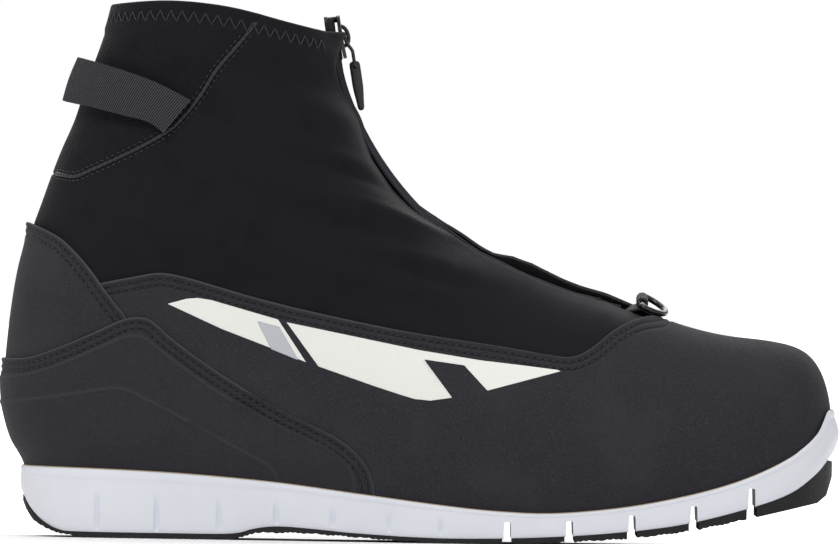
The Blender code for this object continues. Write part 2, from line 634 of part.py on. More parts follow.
def zip_parts():
    """Tapes and coils on both sides, the bottom stop, and the slider with its bridge and pull."""
    for side_name, side in SIDES:
        finish(zip_strip(f"zip_tape_{side_name}", TAPE_Y, TAPE_DEPTH, side), "coated_fabric")
        finish(zip_strip(f"zip_coil_{side_name}", COIL_Y, COIL_DEPTH, side), "zip_coil")
    stop = arc_block((ZIP_BOTTOM + 0.3, ZIP_BOTTOM + 1.3), 3.0, (0.4, 3.4), 2, "zip_bottom_stop")
    finish(stop, "moulded_plastic")
    slider = arc_block(SLIDER_ENDS, 4.0, (-1.2, 0.3), name="slider_body")
    boolean(slider, 'UNION', arc_block(SLIDER_ENDS, 3.8, (3.5, 4.3)))
    boolean(slider, 'UNION', arc_block((SLIDER_ENDS[0] + 0.6, SLIDER_ENDS[0] + 2.8), 1.2, (-0.4, 3.9)))
    arch = [zip_arc(BRIDGE_ANGLE + a, d) for a, d in
            ((-1.9, -0.6), (-1.9, -3.6), (-1.2, -4.2), (1.2, -4.2), (1.9, -3.6), (1.9, -0.6),
             (1.2, -0.6), (1.2, -3.3), (-1.2, -3.3), (-1.2, -0.6))]
    boolean(slider, 'UNION', prism(arch, -1.2, 1.2))
    finish(slider, "black_metal")
    pull_parts()


LINK_PIN = zip_arc(BRIDGE_ANGLE, -2.25)           # where the link's wire runs under the bridge
LINK_WIRE, LINK_HALF, LINK_LENGTH = 0.6, 3.2, 11.6
LINK_BOW = 1.9                                    # how far the link stands ahead of its pin
GRIP_HALF, GRIP_LENGTH = 2.2, 18.0
PULL_TILT = math.radians(12)                      # the pull hangs slightly forward


def hang(down, forward, y):
    """Point on the hanging pull, measured from its pin."""
    direction = Vector((math.sin(PULL_TILT), -math.cos(PULL_TILT)))
    ahead = Vector((math.cos(PULL_TILT), math.sin(PULL_TILT)))
    x, z = LINK_PIN + down * direction + forward * ahead
    return (x, y, z)


def pull_parts():
    """Wire link, bowed clear of the slider, and the moulded grip around its lower end."""
    corner = 0.9
    path = [(0, LINK_HALF - corner), (corner * 0.3, LINK_HALF - corner * 0.3), (corner, LINK_HALF),
            (LINK_LENGTH - corner, LINK_HALF), (LINK_LENGTH - corner * 0.3, LINK_HALF - corner * 0.3),
            (LINK_LENGTH, LINK_HALF - corner)]
    path += [(down, -y) for down, y in path[::-1]]
    bow = [hang(down, LINK_BOW * smoothstep(1.5, 6, down), y) for down, y in path]
    finish(tube("pull_link", bow, LINK_WIRE, closed=True, sides=6), "black_metal")
    start = LINK_LENGTH - 2.4
    sections = ((0.0, 1.3), (1.0, 2.0), (GRIP_LENGTH * 0.75, 1.8), (GRIP_LENGTH, 1.1))
    rings = [[hang(start + down, LINK_BOW + ahead * half, y * GRIP_HALF) for ahead, y in
              ((-1, -0.6), (-0.6, -1), (0.6, -1), (1, -0.6), (1, 0.6), (0.6, 1), (-0.6, 1), (-1, 0.6))]
             for down, half in sections]
    grip = loft("pull_grip", rings)
    hole_ends = [hang(LINK_LENGTH, LINK_BOW, y) for y in (-5, 5)]
    finish(cut(grip, tube("hole", hole_ends, LINK_WIRE + GAP, sides=8)), "moulded_plastic")


# ================================================================ ring, strap and heel loop
def ring_frame():
    """Directions of the D-ring: along its bar, and outward from the bar."""
    bar = Vector((0, math.cos(RING_ROLL), math.sin(RING_ROLL)))
    reach = Vector((math.cos(RING_DROOP), 0, -math.sin(RING_DROOP)))
    return bar, (reach - bar * reach.dot(bar)).normalized()


def ring_parts():
    """D-ring below the zip, and the webbing strap that is sewn around its bar."""
    bar, reach = ring_frame()
    bend = [math.pi * i / 9 - math.pi / 2 for i in range(10)]
    path = [RING_BAR + bar * (RING_HALF * math.sin(t)) + reach * (RING_STEM + RING_REACH * math.cos(t))
            for t in bend]
    path += [RING_BAR + bar * (s * (RING_HALF - RING_WIRE)) for s in (1, 0.33, -0.33, -1)]
    finish(tube("d_ring", path, RING_WIRE, closed=True, sides=6), "black_metal")
    inner = RING_WIRE + GAP
    turns = [math.radians(a) for a in range(-100, 141, 30)]
    tail = [(-8.5, 1.2), (-3.5, -0.7)]            # its sewn end, measured from the bar
    wrap = [(math.cos(t), math.sin(t)) for t in turns]
    profile = tail + [(inner * c, inner * s) for c, s in wrap]
    profile += [((inner + STRAP_THICK) * c, (inner + STRAP_THICK) * s) for c, s in wrap[::-1]]
    profile += [(x, z - STRAP_THICK) for x, z in tail[::-1]]
    rings = [[RING_BAR + Vector((x, y, z + y * math.tan(RING_ROLL) * smoothstep(-8.5, -2, x)))
              for x, z in profile] for y in (-STRAP_HALF, STRAP_HALF)]
    finish(loft("ring_strap", rings), "webbing")


def heel_loop():
    """Webbing pull loop across the Achilles tendon, lifted off the shaft at the back."""
    band = layer(LOOP_BAND, lambda x, z: -LOOP_LIFT * smoothstep(0, LOOP_REACH, LOOP_TOP[-1][0] - x))
    outline = smooth(LOOP_TOP, 2) + smooth(LOOP_FOOT, 2)
    finish(trim("heel_loop", band, prism(outline)), "webbing")


def prints():
    """Flashes printed on both sides of the quarter."""
    for side_name, y0, y1 in (("lateral", -FAR, 0), ("medial", 0, FAR)):
        for name, outline in (("rear_flash", REAR_FLASH), ("front_flash", FRONT_FLASH)):
            finish(trim(f"{name}_{side_name}", layer(PRINT), prism(outline, y0, y1)), "white_print")


# ================================================================ sole
def plan_outline(inset, count=26):
    """Outline of the upper where it meets the sole, seen from above, drawn in by inset."""
    first, last = -46.0, 244.0
    steps = [(1 - math.cos(math.pi * (k + 0.35) / count)) / 2 for k in range(count)]
    xs = [first + (last - first) * step for step in steps]
    edge = [(x, -half_width(x, height(FEATHER, x, 1.0), -1)) for x in xs]
    edge += [(x, half_width(x, height(FEATHER, x, 1.0), 1)) for x in reversed(xs)]
    return grow(edge, -inset)


def sole_block(name, side_outline, inset=-SOLE_PROUD):
    """Side profile of a sole part, trimmed to the plan outline."""
    return trim(name, prism(side_outline), plan_prism(plan_outline(inset)))


def slot_cutter(x, top):
    """One flex slot across the sole, wider at the tread than at its top."""
    foot = -10.0
    return prism(((x - SLOT_FOOT / 2, foot), (x + SLOT_FOOT / 2, foot), (x + SLOT_TOP / 2, top),
                  (x - SLOT_TOP / 2, top)))


def groove_cutters():
    """The two lengthwise grooves that a binding's ridges run in."""
    profile = [(-60, -10), (224, -10)] + stretch(TREAD, 224, -40, GROOVE_DEPTH) + [(-60, 12)]
    return [prism(profile, side * GROOVE_Y - GROOVE_WIDTH / 2, side * GROOVE_Y + GROOVE_WIDTH / 2)
            for side in (-1, 1)]


def core_cutter():
    """Room in the midsole for the thicker rubber under the middle of the foot."""
    (x0, x1) = CORE_X
    profile = [(x0, -10), (x1, -10)] + stretch(RUBBER, x1, x0, CORE_HEIGHT + GAP)
    return prism(profile, -CORE_WIDTH - GAP, CORE_WIDTH + GAP)


def midsole():
    """White midsole in two halves that meet at the flex point, and the shank let into its top."""
    split = FLEX_POINT.x
    rear = [(-47.4, 18), (-47.2, 25)] + stretch(FEATHER, -46, split - 0.3, 0)
    rear += stretch(RUBBER, split - 0.3, -46.6)
    front = stretch(FEATHER, split + 0.3, 243.6, 0)
    front += [(246.4, 48), (247.5, 43), (246.9, 36)] + stretch(RUBBER, 243.5, split + 0.3)
    (x0, x1), (high, low) = SHANK_X, SHANK_DEPTH
    room = stretch(FEATHER, x0 - GAP, x1 + GAP, 5) + stretch(FEATHER, x1 + GAP, x0 - GAP, low - GAP)
    room_half = SHANK_HALF + GAP
    part = cut(sole_block("midsole_rear", rear), core_cutter(), prism(room, -room_half, room_half))
    finish(cut(part, *[slot_cutter(*slot) for slot in SLOTS[:3]]), "white_sole")
    part = cut(sole_block("midsole_front", front), core_cutter(), cage_pocket())
    finish(cut(part, *[slot_cutter(*slot) for slot in SLOTS[2:]]), "white_sole")
    shank = stretch(FEATHER, x0, x1, high) + stretch(FEATHER, x1, x0, low)
    finish(prism(shank, -SHANK_HALF, SHANK_HALF, "shank"), "shank_composite")


def cage_pocket():
    """Pocket for the bar cage, open to the ground for the binding's jaws."""
    (x0, x1), half, (_, z1) = CAGE
    return box((x0 - GAP, -half - GAP, -10), (x1 + GAP, half + GAP, z1 + GAP))


def outsole():
    """Rubber treads: heel, waist, four lugs between the flex slots, and the toe block."""
    bounds = [-46.0, 34.0] + [x for x, _ in SLOTS]
    names = ("outsole_heel", "outsole_waist", "outsole_lug_1", "outsole_lug_2", "outsole_lug_3",
             "outsole_lug_4")
    for name, x0, x1 in zip(names, bounds, bounds[1:]):
        start = x0 + (GAP if x0 in (-46.0, 34.0) else SLOT_FOOT / 2)
        end = x1 - (GAP if x1 == 34.0 else SLOT_FOOT / 2)
        low, rim = stretch(TREAD, start, end), stretch(RUBBER, end, start, -GAP)
        part = sole_block(name, low + rim)
        first, last = max(start, CORE_X[0] + 0.5), min(end, CORE_X[1] - 1)
        core = stretch(TREAD, first, last, 0.6) + stretch(RUBBER, last, first, CORE_HEIGHT)
        boolean(part, 'UNION', prism(core, -CORE_WIDTH, CORE_WIDTH))
        finish(cut(part, *groove_cutters()), "rubber")
    toe_start = SLOTS[-1][0] + SLOT_FOOT / 2
    toe = stretch(TREAD, toe_start, 243) + [(246.2, 31.5)] + stretch(RUBBER, 243.4, toe_start, -GAP)
    finish(cut(sole_block("outsole_toe", toe, -SOLE_PROUD + 0.3), cage_pocket()), "rubber")


def toe_binding_bar():
    """Steel bar that the binding grips, and the moulded cage that holds it in the toe."""
    (x0, x1), half, (z0, z1) = CAGE
    cage = box((x0, -half, z0), (x1, half, z1), "bar_cage")
    channel = box((x0 - 1, -CAGE_CHANNEL, z0 - 1), (x1 - CAGE_WALL, CAGE_CHANNEL, z1 - CAGE_WALL))
    reach = half - BAR_COVER
    hole = tube("hole", [(TOE_BAR.x, -reach, TOE_BAR.y), (TOE_BAR.x, reach, TOE_BAR.y)],
                BAR_RADIUS + GAP, sides=12)
    finish(cut(cage, channel, hole), "moulded_plastic")
    ends = reach - GAP
    bar = tube("toe_bar", [(TOE_BAR.x, -ends, TOE_BAR.y), (TOE_BAR.x, ends, TOE_BAR.y)], BAR_RADIUS, sides=12)
    finish(bar, "steel")


def footbed():
    """Lasting board and insole, both drawn in from the edge of the sole."""
    board = stretch(FEATHER, -44, 227, BOARD[0]) + stretch(FEATHER, 227, -44, BOARD[1])
    finish(sole_block("lasting_board", board, BOARD_INSET), "stiffener_board")
    insole = stretch(FEATHER, -40, 222, INSOLE[0]) + stretch(FEATHER, 222, -40, INSOLE[1])
    finish(sole_block("insole", insole, INSOLE_INSET), "foam")


def build():
    for thing in list(bpy.data.objects):
        bpy.data.objects.remove(thing)
    lower_upper()
    stiffeners()
    gaiter()
    inner_boot()
    lacing()
    zip_parts()
    ring_parts()
    heel_loop()
    prints()
    midsole()
    outsole()
    toe_binding_bar()
    footbed()


build()
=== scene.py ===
"""Looks of the cross country boot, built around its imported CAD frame.

Lengths are millimetres in the frame's own axes: the toe points along +X, the lateral side is -Y
and the ground is z = 0.  The upper's panels are cut from one fine base surface, the outside of the
soft shell, and each gets its own height over it.  The sole, the zip and the hardware follow.
"""

import json
import math

import bmesh
import bpy
import numpy as np
from mathutils import Matrix, Vector
from mathutils.kdtree import KDTree


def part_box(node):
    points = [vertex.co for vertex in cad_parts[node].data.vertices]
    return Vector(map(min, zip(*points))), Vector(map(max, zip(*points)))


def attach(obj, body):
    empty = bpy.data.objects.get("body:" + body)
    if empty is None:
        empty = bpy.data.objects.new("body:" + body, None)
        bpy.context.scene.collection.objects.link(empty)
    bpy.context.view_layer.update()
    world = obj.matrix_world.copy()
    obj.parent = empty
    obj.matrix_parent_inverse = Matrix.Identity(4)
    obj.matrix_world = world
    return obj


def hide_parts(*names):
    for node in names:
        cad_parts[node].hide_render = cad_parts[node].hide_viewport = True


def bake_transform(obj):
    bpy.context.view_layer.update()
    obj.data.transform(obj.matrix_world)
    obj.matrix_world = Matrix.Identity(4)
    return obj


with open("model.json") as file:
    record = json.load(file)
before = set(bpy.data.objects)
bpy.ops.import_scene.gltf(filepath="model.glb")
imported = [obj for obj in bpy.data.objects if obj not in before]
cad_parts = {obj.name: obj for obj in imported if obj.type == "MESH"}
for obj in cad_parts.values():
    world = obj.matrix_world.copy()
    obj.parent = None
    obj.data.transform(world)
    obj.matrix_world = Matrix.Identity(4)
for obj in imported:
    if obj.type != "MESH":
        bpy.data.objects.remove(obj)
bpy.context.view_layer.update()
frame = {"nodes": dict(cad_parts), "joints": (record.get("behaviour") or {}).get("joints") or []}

MM = 0.001
SIDES = (("lateral", -1), ("medial", 1))
JOINTS = {joint["name"]: joint for joint in frame["joints"]}


def joint_place(name):
    """Where a joint is, in millimetres."""
    return np.array(JOINTS[name]["pos_m"]) / MM


def node_box(name):
    """Lowest and highest corner of a CAD node, in millimetres."""
    low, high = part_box(name)
    return np.array(low) / MM, np.array(high) / MM


# ---------------------------------------------------------------- places taken from the frame
ZIP_CENTRE = joint_place("zip_slide")[[0, 2]]
LINK_PIN = joint_place("pull_swing")[[0, 2]]
PIN_HEIGHT = 2.25                       # the link's pin stands this far over the zip's arc
ZIP_RADIUS = float(np.hypot(*(LINK_PIN - ZIP_CENTRE))) + PIN_HEIGHT
RING_BAR = joint_place("ring_swing")
RING_AXIS = -np.array(JOINTS["ring_swing"]["axis"])
HINGE_FOOT = joint_place("flap_lateral_swing")[[0, 2]]
HINGE_AXIS = np.array(JOINTS["flap_lateral_swing"]["axis"])
COLLAR_SEAM = HINGE_FOOT + (190.0 - HINGE_FOOT[1]) * HINGE_AXIS[[0, 2]] / HINGE_AXIS[2]

# ---------------------------------------------------------------- profile of the upper (x, z)
VAMP_LINE = ((162, 89.1), (176, 84.7), (190, 79.6), (205, 76.1), (222, 74.3), (233, 71.8),
             (238.5, 67.2), (242, 60), (244.2, 50.5), (244.3, 44))
BACK_LINE = ((-15.5, 197.5), (-20, 180), (-29, 155), (-41, 121), (-49, 95), (-53, 58),
             (-50.8, 42), (-47.2, 32), (-44, 22), (-42.5, 16))
FEATHER_LINE = ((-47, 25.4), (-11, 24.5), (17.6, 23.1), (46.5, 20.7), (75, 17.2), (104, 13.7),
                (125, 11.8), (147, 11.5), (176, 14.9), (205, 21.8), (226, 30.5), (238.8, 40),
                (243.7, 49.8))          # where the upper meets the top of the sole
SKIRT = 8.0                             # the base surface runs on this far below the feather line

FOOT_X = (-46, -20, 20, 60, 100, 140, 175, 205, 230, 250)
LATERAL_WIDTH = (36, 36, 36, 38, 45, 50, 50, 46, 43, 41)
MEDIAL_WIDTH = (36, 36, 35, 33.5, 42, 50, 52, 49, 46, 44)
SHAFT_Z = (70, 100, 130, 160, 192)
SHAFT_WIDTH = (40, 41, 38, 37.5, 39)
FRONT_ROUND_X = (65, 90, 130, 165, 190, 244)
FRONT_ROUND = (41, 48, 60, 58, 50, 42)  # how far from the front line the full width is reached
BACK_ROUND_Z = (60, 120)
BACK_ROUND = (32, 41)
TUCK, TUCK_HEIGHT = 2.5, 14.0           # the upper draws in just above the sole

# ---------------------------------------------------------------- outlines seen from the side
COLLAR_TOP = ((-24, 190), (-17.5, 191.8), (4, 193.2), (26, 191.1), (47, 186.2), (60, 183.4),
              (72, 181.5))
ACHILLES_SEAM = ((37.6, 188.6), (35.8, 185.8), (29.8, 178.3), (21.8, 168.7), (15.5, 158.5),
                 (8.4, 149.7), (3.1, 145.3), (-5.9, 140.1), (-14.8, 135.7), (-23.7, 131.6), (-29.1, 129.5), (-36, 130.4), (-46, 131.6))
BACK_TOP = ((-60, 118), (-45.8, 113), (-36.2, 108.8), (-30.4, 104.6), (-23.4, 97.2), (-18.2, 90.4),
            (-12.9, 83.6), (-9.4, 79.1), (-2, 66), (4, 50), (6, 15))
QUARTER_TOP = ((-30, 88), (-18.7, 91.3), (-6.7, 93.8), (2.4, 95.3), (11.3, 94), (23.7, 90.6), (38, 86.7),
               (58.1, 82.1), (88.8, 76.2), (123.3, 71.3), (144, 68), (151.5, 67.9), (157.7, 71.1),
               (164.5, 76.7), (170, 80), (176, 82.3), (182, 83.2))
CAP_TOP = ((-62, 64), (-54.2, 64), (-43.6, 64.2), (-32.1, 68.4), (-20.7, 73.8), (-11.6, 78.2),
           (-5.9, 79.4), (-0.2, 78.2), (8.3, 71), (25.2, 59.3), (45.3, 47.6), (65.4, 38), (74.2, 31.5),
           (79, 24.9), (80.7, 17.6), (81, 8))
CAP_RIDGES = (((-60, 56), (-54.2, 56.6), (-44.1, 58.2), (-33.4, 61.6), (-19.1, 68.3), (-10.2, 72.4),
               (-5.5, 72.8), (-1.1, 71.1), (9.1, 63.3), (25.1, 52.4), (46.1, 41.2), (64.3, 33.3),
               (72.3, 25.5), (73.9, 14)),
              ((-60, 48), (-53, 48.7), (-36.8, 50.4), (-22.4, 52.7), (-12.4, 54), (-6.2, 52.3),
               (6.5, 46), (26.4, 35.5), (42.8, 26.8), (47, 19)))
REAR_FLASH = ((5.4, 84.3), (12, 86.2), (16, 86.6), (21, 85.9), (45.1, 79.3), (55.4, 64.1),
              (43, 68.9), (24.9, 75.6))
SILVER = ((37.6, 78.6), (45.6, 76.5), (52.6, 64.8), (42.8, 68.6))
FRONT_FLASH = ((48.1, 78.4), (70.8, 74), (96.1, 69.1), (117.8, 65.8), (145.6, 62.9), (146.6, 62.3),
               (120.5, 55), (112, 63.9), (97.6, 65.8), (107.9, 52.3), (100, 51.1), (94.5, 51.6),
               (89.2, 53.1), (80.5, 55.8), (59.8, 62.7))
LOOP_TOP = ((-36, 172.4), (-29, 171.1), (-21.5, 170.1), (-9.9, 167.1), (1, 163.3), (12.6, 157.4))
LOOP_FOOT = ((-36, 155.6), (-31.3, 155.2), (-21.2, 153.6), (-9.6, 150.9), (-3.1, 149.5), (0.5, 147.6),
             (3.2, 145.2))

# ---------------------------------------------------------------- sole
TREAD_LINE = ((-46.3, 13.8), (-44.5, 9.3), (-41.5, 5.6), (-37.5, 3.0), (-32.4, 1.4), (-27, 0.4),
              (-21.6, 0.1), (28.8, 0.1), (33, 0.8), (38, 2.6), (54, 2.8), (68, 2), (86, 0.8),
              (104, 0.1), (122, 0.1), (136, 0.3), (147.6, 1), (169, 2.5), (182, 4), (194, 5.8),
              (206, 8.4), (219.5, 11.6), (239.7, 16.5), (243, 19.3), (246.2, 34))
RUBBER_LINE = ((-47.1, 17.8), (-45.6, 14.2), (-42.6, 9.2), (-37.9, 5), (-32.4, 2.5), (-25, 1.9),
               (10.8, 1.8), (30.2, 2.1), (37.7, 4), (46.7, 4.9), (61, 4), (75.6, 2.8), (104, 1.7),
               (133, 2.3), (162, 4.2), (190.7, 7.9), (215.8, 14.4), (230, 19.7), (239, 26.3),
               (243.6, 31.8), (246.4, 36.0))           # white midsole above, rubber below
SLOTS = ((128.4, 8.0), (150.7, 8.7), (173.1, 11.1), (195.2, 14.8), (215.9, 21.4))
SLOT_TOP, SLOT_FOOT = 2.2, 3.6          # width of a flex slot at its top and at the tread
SIDE_GROOVES = ((-18.8, 3.5, 14.5), (2.7, 3.2, 13.5), (25.1, 4, 12.5), (45.6, 6.5, 12),
                (65.7, 5.5, 11), (85.9, 4.5, 9.5), (104.6, 4, 8))      # x, lowest and highest z
SOLE_PROUD = 1.4                        # the sidewall stands out past the upper


# ================================================================ curves
def smooth(points, per_span=6):
    """Catmull-Rom curve through the points, as an array."""
    p = np.array(points, float)
    p = np.vstack((2 * p[0] - p[1], p, 2 * p[-1] - p[-2]))
    t = np.arange(per_span)[:, None] / per_span
    spans = [0.5 * (2 * b + (c - a) * t + (2 * a - 5 * b + 4 * c - d) * t ** 2
                    + (3 * b - 3 * c + d - a) * t ** 3) for a, b, c, d in zip(p, p[1:], p[2:], p[3:])]
    return np.vstack(spans + [p[-2:-1]])


def smoothstep(low, high, value):
    t = np.clip((value - low) / (high - low), 0, 1)
    return t * t * (3 - 2 * t)


def hump(value, width):
    """Bell curve, 1 at zero."""
    return np.exp(-(value / width) ** 2)


def lengths_along(line):
    return np.concatenate(([0], np.cumsum(np.linalg.norm(np.diff(line, axis=0), axis=1))))


def along(line, fraction):
    """Points at fractions of a line's length."""
    lengths = lengths_along(line)
    at = np.asarray(fraction) * lengths[-1]
    return np.stack([np.interp(at, lengths, column) for column in line.T], axis=-1)


def evenly(line, pitch):
    """A line again, with points a pitch apart."""
    count = max(2, int(round(lengths_along(line)[-1] / pitch)) + 1)
    return along(line, np.linspace(0, 1, count))


def distance(points, line):
    """Shortest distance from each point (x, z) to a line, worked out in batches."""
    start, step = line[:-1], np.diff(line, axis=0)
    size = (step ** 2).sum(1)
    out = []
    for batch in np.array_split(points, max(1, len(points) // 8000)):
        to = batch[:, None] - start
        t = np.clip((to * step).sum(2) / size, 0, 1)
        out.append(np.sqrt(((to - t[..., None] * step) ** 2).sum(2)).min(1))
    return np.concatenate(out)


def inside(points, outline):
    """Distance from a closed outline, positive inside it."""
    closed = np.vstack((outline, outline[:1]))
    (ax, az), (bx, bz) = closed[:-1].T, closed[1:].T
    x, z = points[:, :1], points[:, 1:]
    rise = np.where(bz == az, 1e-9, bz - az)
    crossed = ((az > z) != (bz > z)) & (x < ax + (z - az) * (bx - ax) / rise)
    return distance(points, closed) * np.where(crossed.sum(1) % 2, 1, -1)


def zip_arc(degrees, depth=0.0):
    """Points (x, z) on the zip's arc, or a depth inside the boot."""
    a = np.radians(degrees)
    return ZIP_CENTRE + (ZIP_RADIUS + depth) * np.stack((np.cos(a), np.sin(a)), axis=-1)


SHIN = zip_arc(np.arange(-173.5, -114.9, 0.5))
INSTEP = np.vstack((zip_arc(np.arange(-115, -98.9, 0.5)), smooth(VAMP_LINE, 10)))
FRONT = np.vstack((zip_arc(np.arange(-178, -173.5, 0.5)), SHIN, INSTEP[1:]))
BACK = smooth(BACK_LINE, 8)
FEATHER = smooth(FEATHER_LINE, 8)
TREAD = np.array(TREAD_LINE, float)
RUBBER = smooth(RUBBER_LINE, 4)
SKIRT_LINE = np.vstack((BACK[-1:], [p for p in FEATHER - (0, SKIRT) if p[0] > -36], FRONT[-1:]))


def height(line, x, lift=0.0):
    """z of a line at x, raised by lift."""
    return np.interp(x, line[:, 0], line[:, 1]) + lift


def stretch(line, x0, x1, lift=0.0):
    """The part of a line from x0 to x1, as points raised by lift."""
    low, high = sorted((x0, x1))
    inner = [(x, z + lift) for x, z in line if low + 0.1 < x < high - 0.1]
    points = [(low, height(line, low, lift))] + inner + [(high, height(line, high, lift))]
    return points if x0 < x1 else points[::-1]


# ================================================================ base surface of the upper
def curve(xs, values):
    return smooth(tuple(zip(xs, values)), 8)


LATERAL, MEDIAL = curve(FOOT_X, LATERAL_WIDTH), curve(FOOT_X, MEDIAL_WIDTH)
SHAFT = curve(SHAFT_Z, SHAFT_WIDTH)
ROUND = curve(FRONT_ROUND_X, FRONT_ROUND)


def full_width(x, z, side):
    """Half width of the upper before its front and back are rounded off."""
    foot = np.where(side < 0, height(LATERAL, x), height(MEDIAL, x))
    rise = smoothstep(45, 105, z) * (1 - smoothstep(120, 190, x))
    low = 1 - np.clip((z - height(FEATHER, x)) / TUCK_HEIGHT, 0, 1)
    return foot + (height(SHAFT, z) - foot) * rise - TUCK * low * low


def rounded(t):
    return np.sqrt(np.clip(1 - (1 - np.minimum(t, 1)) ** 2, 0, 1))


def half_width(xz, side):
    """Distance of the upper's outside from the centre plane, at points seen from the side."""
    x, z = xz[:, 0], xz[:, 1]
    front = rounded(distance(xz, FRONT) / height(ROUND, x))
    back = rounded(distance(xz, BACK) / np.interp(z, BACK_ROUND_Z, BACK_ROUND))
    return full_width(x, z, side) * front * back


CLOSED = 0.4                            # stations up to here end on the back line, the rest at the sole
CLOSED_FADE = 0.29
GRID = (361, 241)                       # stations and samples of the stored surface


def raw_surface(s, t):
    """Points of the base surface for stations s from 0 to 1 and row positions t from -1 to 1."""
    open_part = np.clip((s - CLOSED) / (1 - CLOSED), 0, 1)
    closed_part = np.clip(s / CLOSED, 0, 1)
    is_closed = (s <= CLOSED)[:, None]
    top = np.where(is_closed, along(SHIN, closed_part), along(INSTEP, open_part))
    rear = np.where(is_closed, along(BACK, closed_part),
                    along(SKIRT_LINE, (1 - np.cos(np.pi * open_part)) / 2))
    closed = np.clip(1 - open_part / CLOSED_FADE, 0, 1)
    a = np.abs(t)
    reach = closed * (1 - np.cos(np.pi * a)) / 2 + (1 - closed) * (1 - np.cos(np.pi * a / 2))
    xz = top + reach[:, None] * (rear - top)
    side = np.where(t < 0, -1, 1)
    y = side * half_width(xz, side) * (a > 0)
    return np.stack((xz[:, 0], y, xz[:, 1]), axis=1)


def blur(values, steps, axis):
    """Even out a grid along an axis, keeping its ends."""
    for _ in range(steps):
        middle = (np.roll(values, 1, axis) + np.roll(values, -1, axis)) / 4 + values / 2
        ends = [slice(None)] * values.ndim
        ends[axis] = [0, -1]
        middle[tuple(ends)] = values[tuple(ends)]
        values = middle
    return values


def stored_surface():
    """Points and outward normals of the base surface on a fine grid, its toe corner evened out."""
    s, t = np.meshgrid(np.linspace(0, 1, GRID[0]), np.linspace(-1, 1, GRID[1]), indexing="ij")
    places = raw_surface(s.ravel(), t.ravel()).reshape(*GRID, 3)
    toe = smoothstep(0.72, 0.86, s)[..., None]
    soft = blur(blur(places, 60, 0), 20, 1)
    places = places * (1 - toe) + soft * toe
    places = blur(blur(places, 6, 0), 3, 1)
    normals = np.cross(np.gradient(places, axis=0), np.gradient(places, axis=1))
    size = np.linalg.norm(normals, axis=2, keepdims=True)
    normals = normals / np.maximum(size, 1e-9)
    normals[-4:] = normals[-5]
    if normals[GRID[0] // 2, 3 * GRID[1] // 4, 1] < 0:
        normals = -normals
    return places, normals


PLACES, NORMALS = stored_surface()
TREE = KDTree(GRID[0] * GRID[1])
for number, place in enumerate(PLACES.reshape(-1, 3)):
    TREE.insert(place, number)
TREE.balance()


def surface(params):
    """Points and normals of the base surface at stations and row positions."""
    at = np.stack((params[:, 0] * (GRID[0] - 1), (params[:, 1] + 1) / 2 * (GRID[1] - 1)))
    low = np.minimum(at.astype(int), np.array([[GRID[0] - 2], [GRID[1] - 2]]))
    (i, j), (u, v) = low, (at - low)[..., None]
    out = []
    for grid in (PLACES, NORMALS):
        near = grid[i, j] * (1 - v) + grid[i, j + 1] * v
        far = grid[i + 1, j] * (1 - v) + grid[i + 1, j + 1] * v
        out.append(near * (1 - u) + far * u)
    out[1] /= np.linalg.norm(out[1], axis=1, keepdims=True)
    return out


def on_surface(xz, side, lift=0.0):
    """Points over the base surface, and its normals there, for a line seen from the side."""
    xz = np.asarray(xz, float)
    sides = np.full(len(xz), side)
    wanted = np.column_stack((xz[:, 0], side * half_width(xz, sides), xz[:, 1]))
    flat_places, flat_normals = PLACES.reshape(-1, 3), NORMALS.reshape(-1, 3)
    places, normals = [], []
    for point in wanted:
        number = TREE.find(point)[1]
        normal = flat_normals[number]
        places.append(point - normal * ((point - flat_places[number]) @ normal))
        normals.append(normal)
    normals = np.array(normals)
    return np.array(places) + normals * np.reshape(lift, (-1, 1)), normals


# ================================================================ meshes
def make_object(name, vertices, faces, material, smooth_angle=40, attributes=None):
    """Mesh object from millimetres."""
    mesh = bpy.data.meshes.new(name)
    mesh.from_pydata(np.asarray(vertices, float) * MM, [], [tuple(int(i) for i in f) for f in faces])
    for key, values in (attributes or {}).items():
        layer = mesh.attributes.new(key, "FLOAT", "POINT")
        layer.data.foreach_set("value", np.asarray(values, np.float32))
    mesh.validate()
    mesh.shade_smooth()
    mesh.set_sharp_from_angle(angle=math.radians(smooth_angle))
    thing = bpy.data.objects.new(name, mesh)
    bpy.context.scene.collection.objects.link(thing)
    for one in material if isinstance(material, (list, tuple)) else [material]:
        mesh.materials.append(one)
    return thing


def split_edges(params, triangles, marked):
    """Halve every edge whose two ends are marked, keeping the mesh whole."""
    pairs = np.sort(triangles[:, [[0, 1], [1, 2], [2, 0]]].reshape(-1, 2), axis=1)
    unique, index = np.unique(pairs, axis=0, return_inverse=True)
    chosen = marked[unique].all(1)
    middle_number = np.full(len(unique), -1)
    middle_number[chosen] = len(params) + np.arange(chosen.sum())
    middles = middle_number[index.ravel()].reshape(-1, 3)
    count = (middles >= 0).sum(1)
    out = [triangles[count == 0]]
    whole, mid = triangles[count == 3], middles[count == 3]
    (a, b, c), (ab, bc, ca) = whole.T, mid.T
    out += [np.stack(t, axis=1) for t in ((a, ab, ca), (ab, b, bc), (ca, bc, c), (ab, bc, ca))]
    for corner in range(3):                       # one edge is split, the one after this corner
        single = (count == 1) & (middles[:, corner] >= 0)
        a, b, c = np.roll(triangles[single], -corner, axis=1).T
        ab = middles[single, corner]
        out += [np.stack((a, ab, c), axis=1), np.stack((ab, b, c), axis=1)]
    return np.vstack((params, params[unique[chosen]].mean(1))), np.vstack(out)


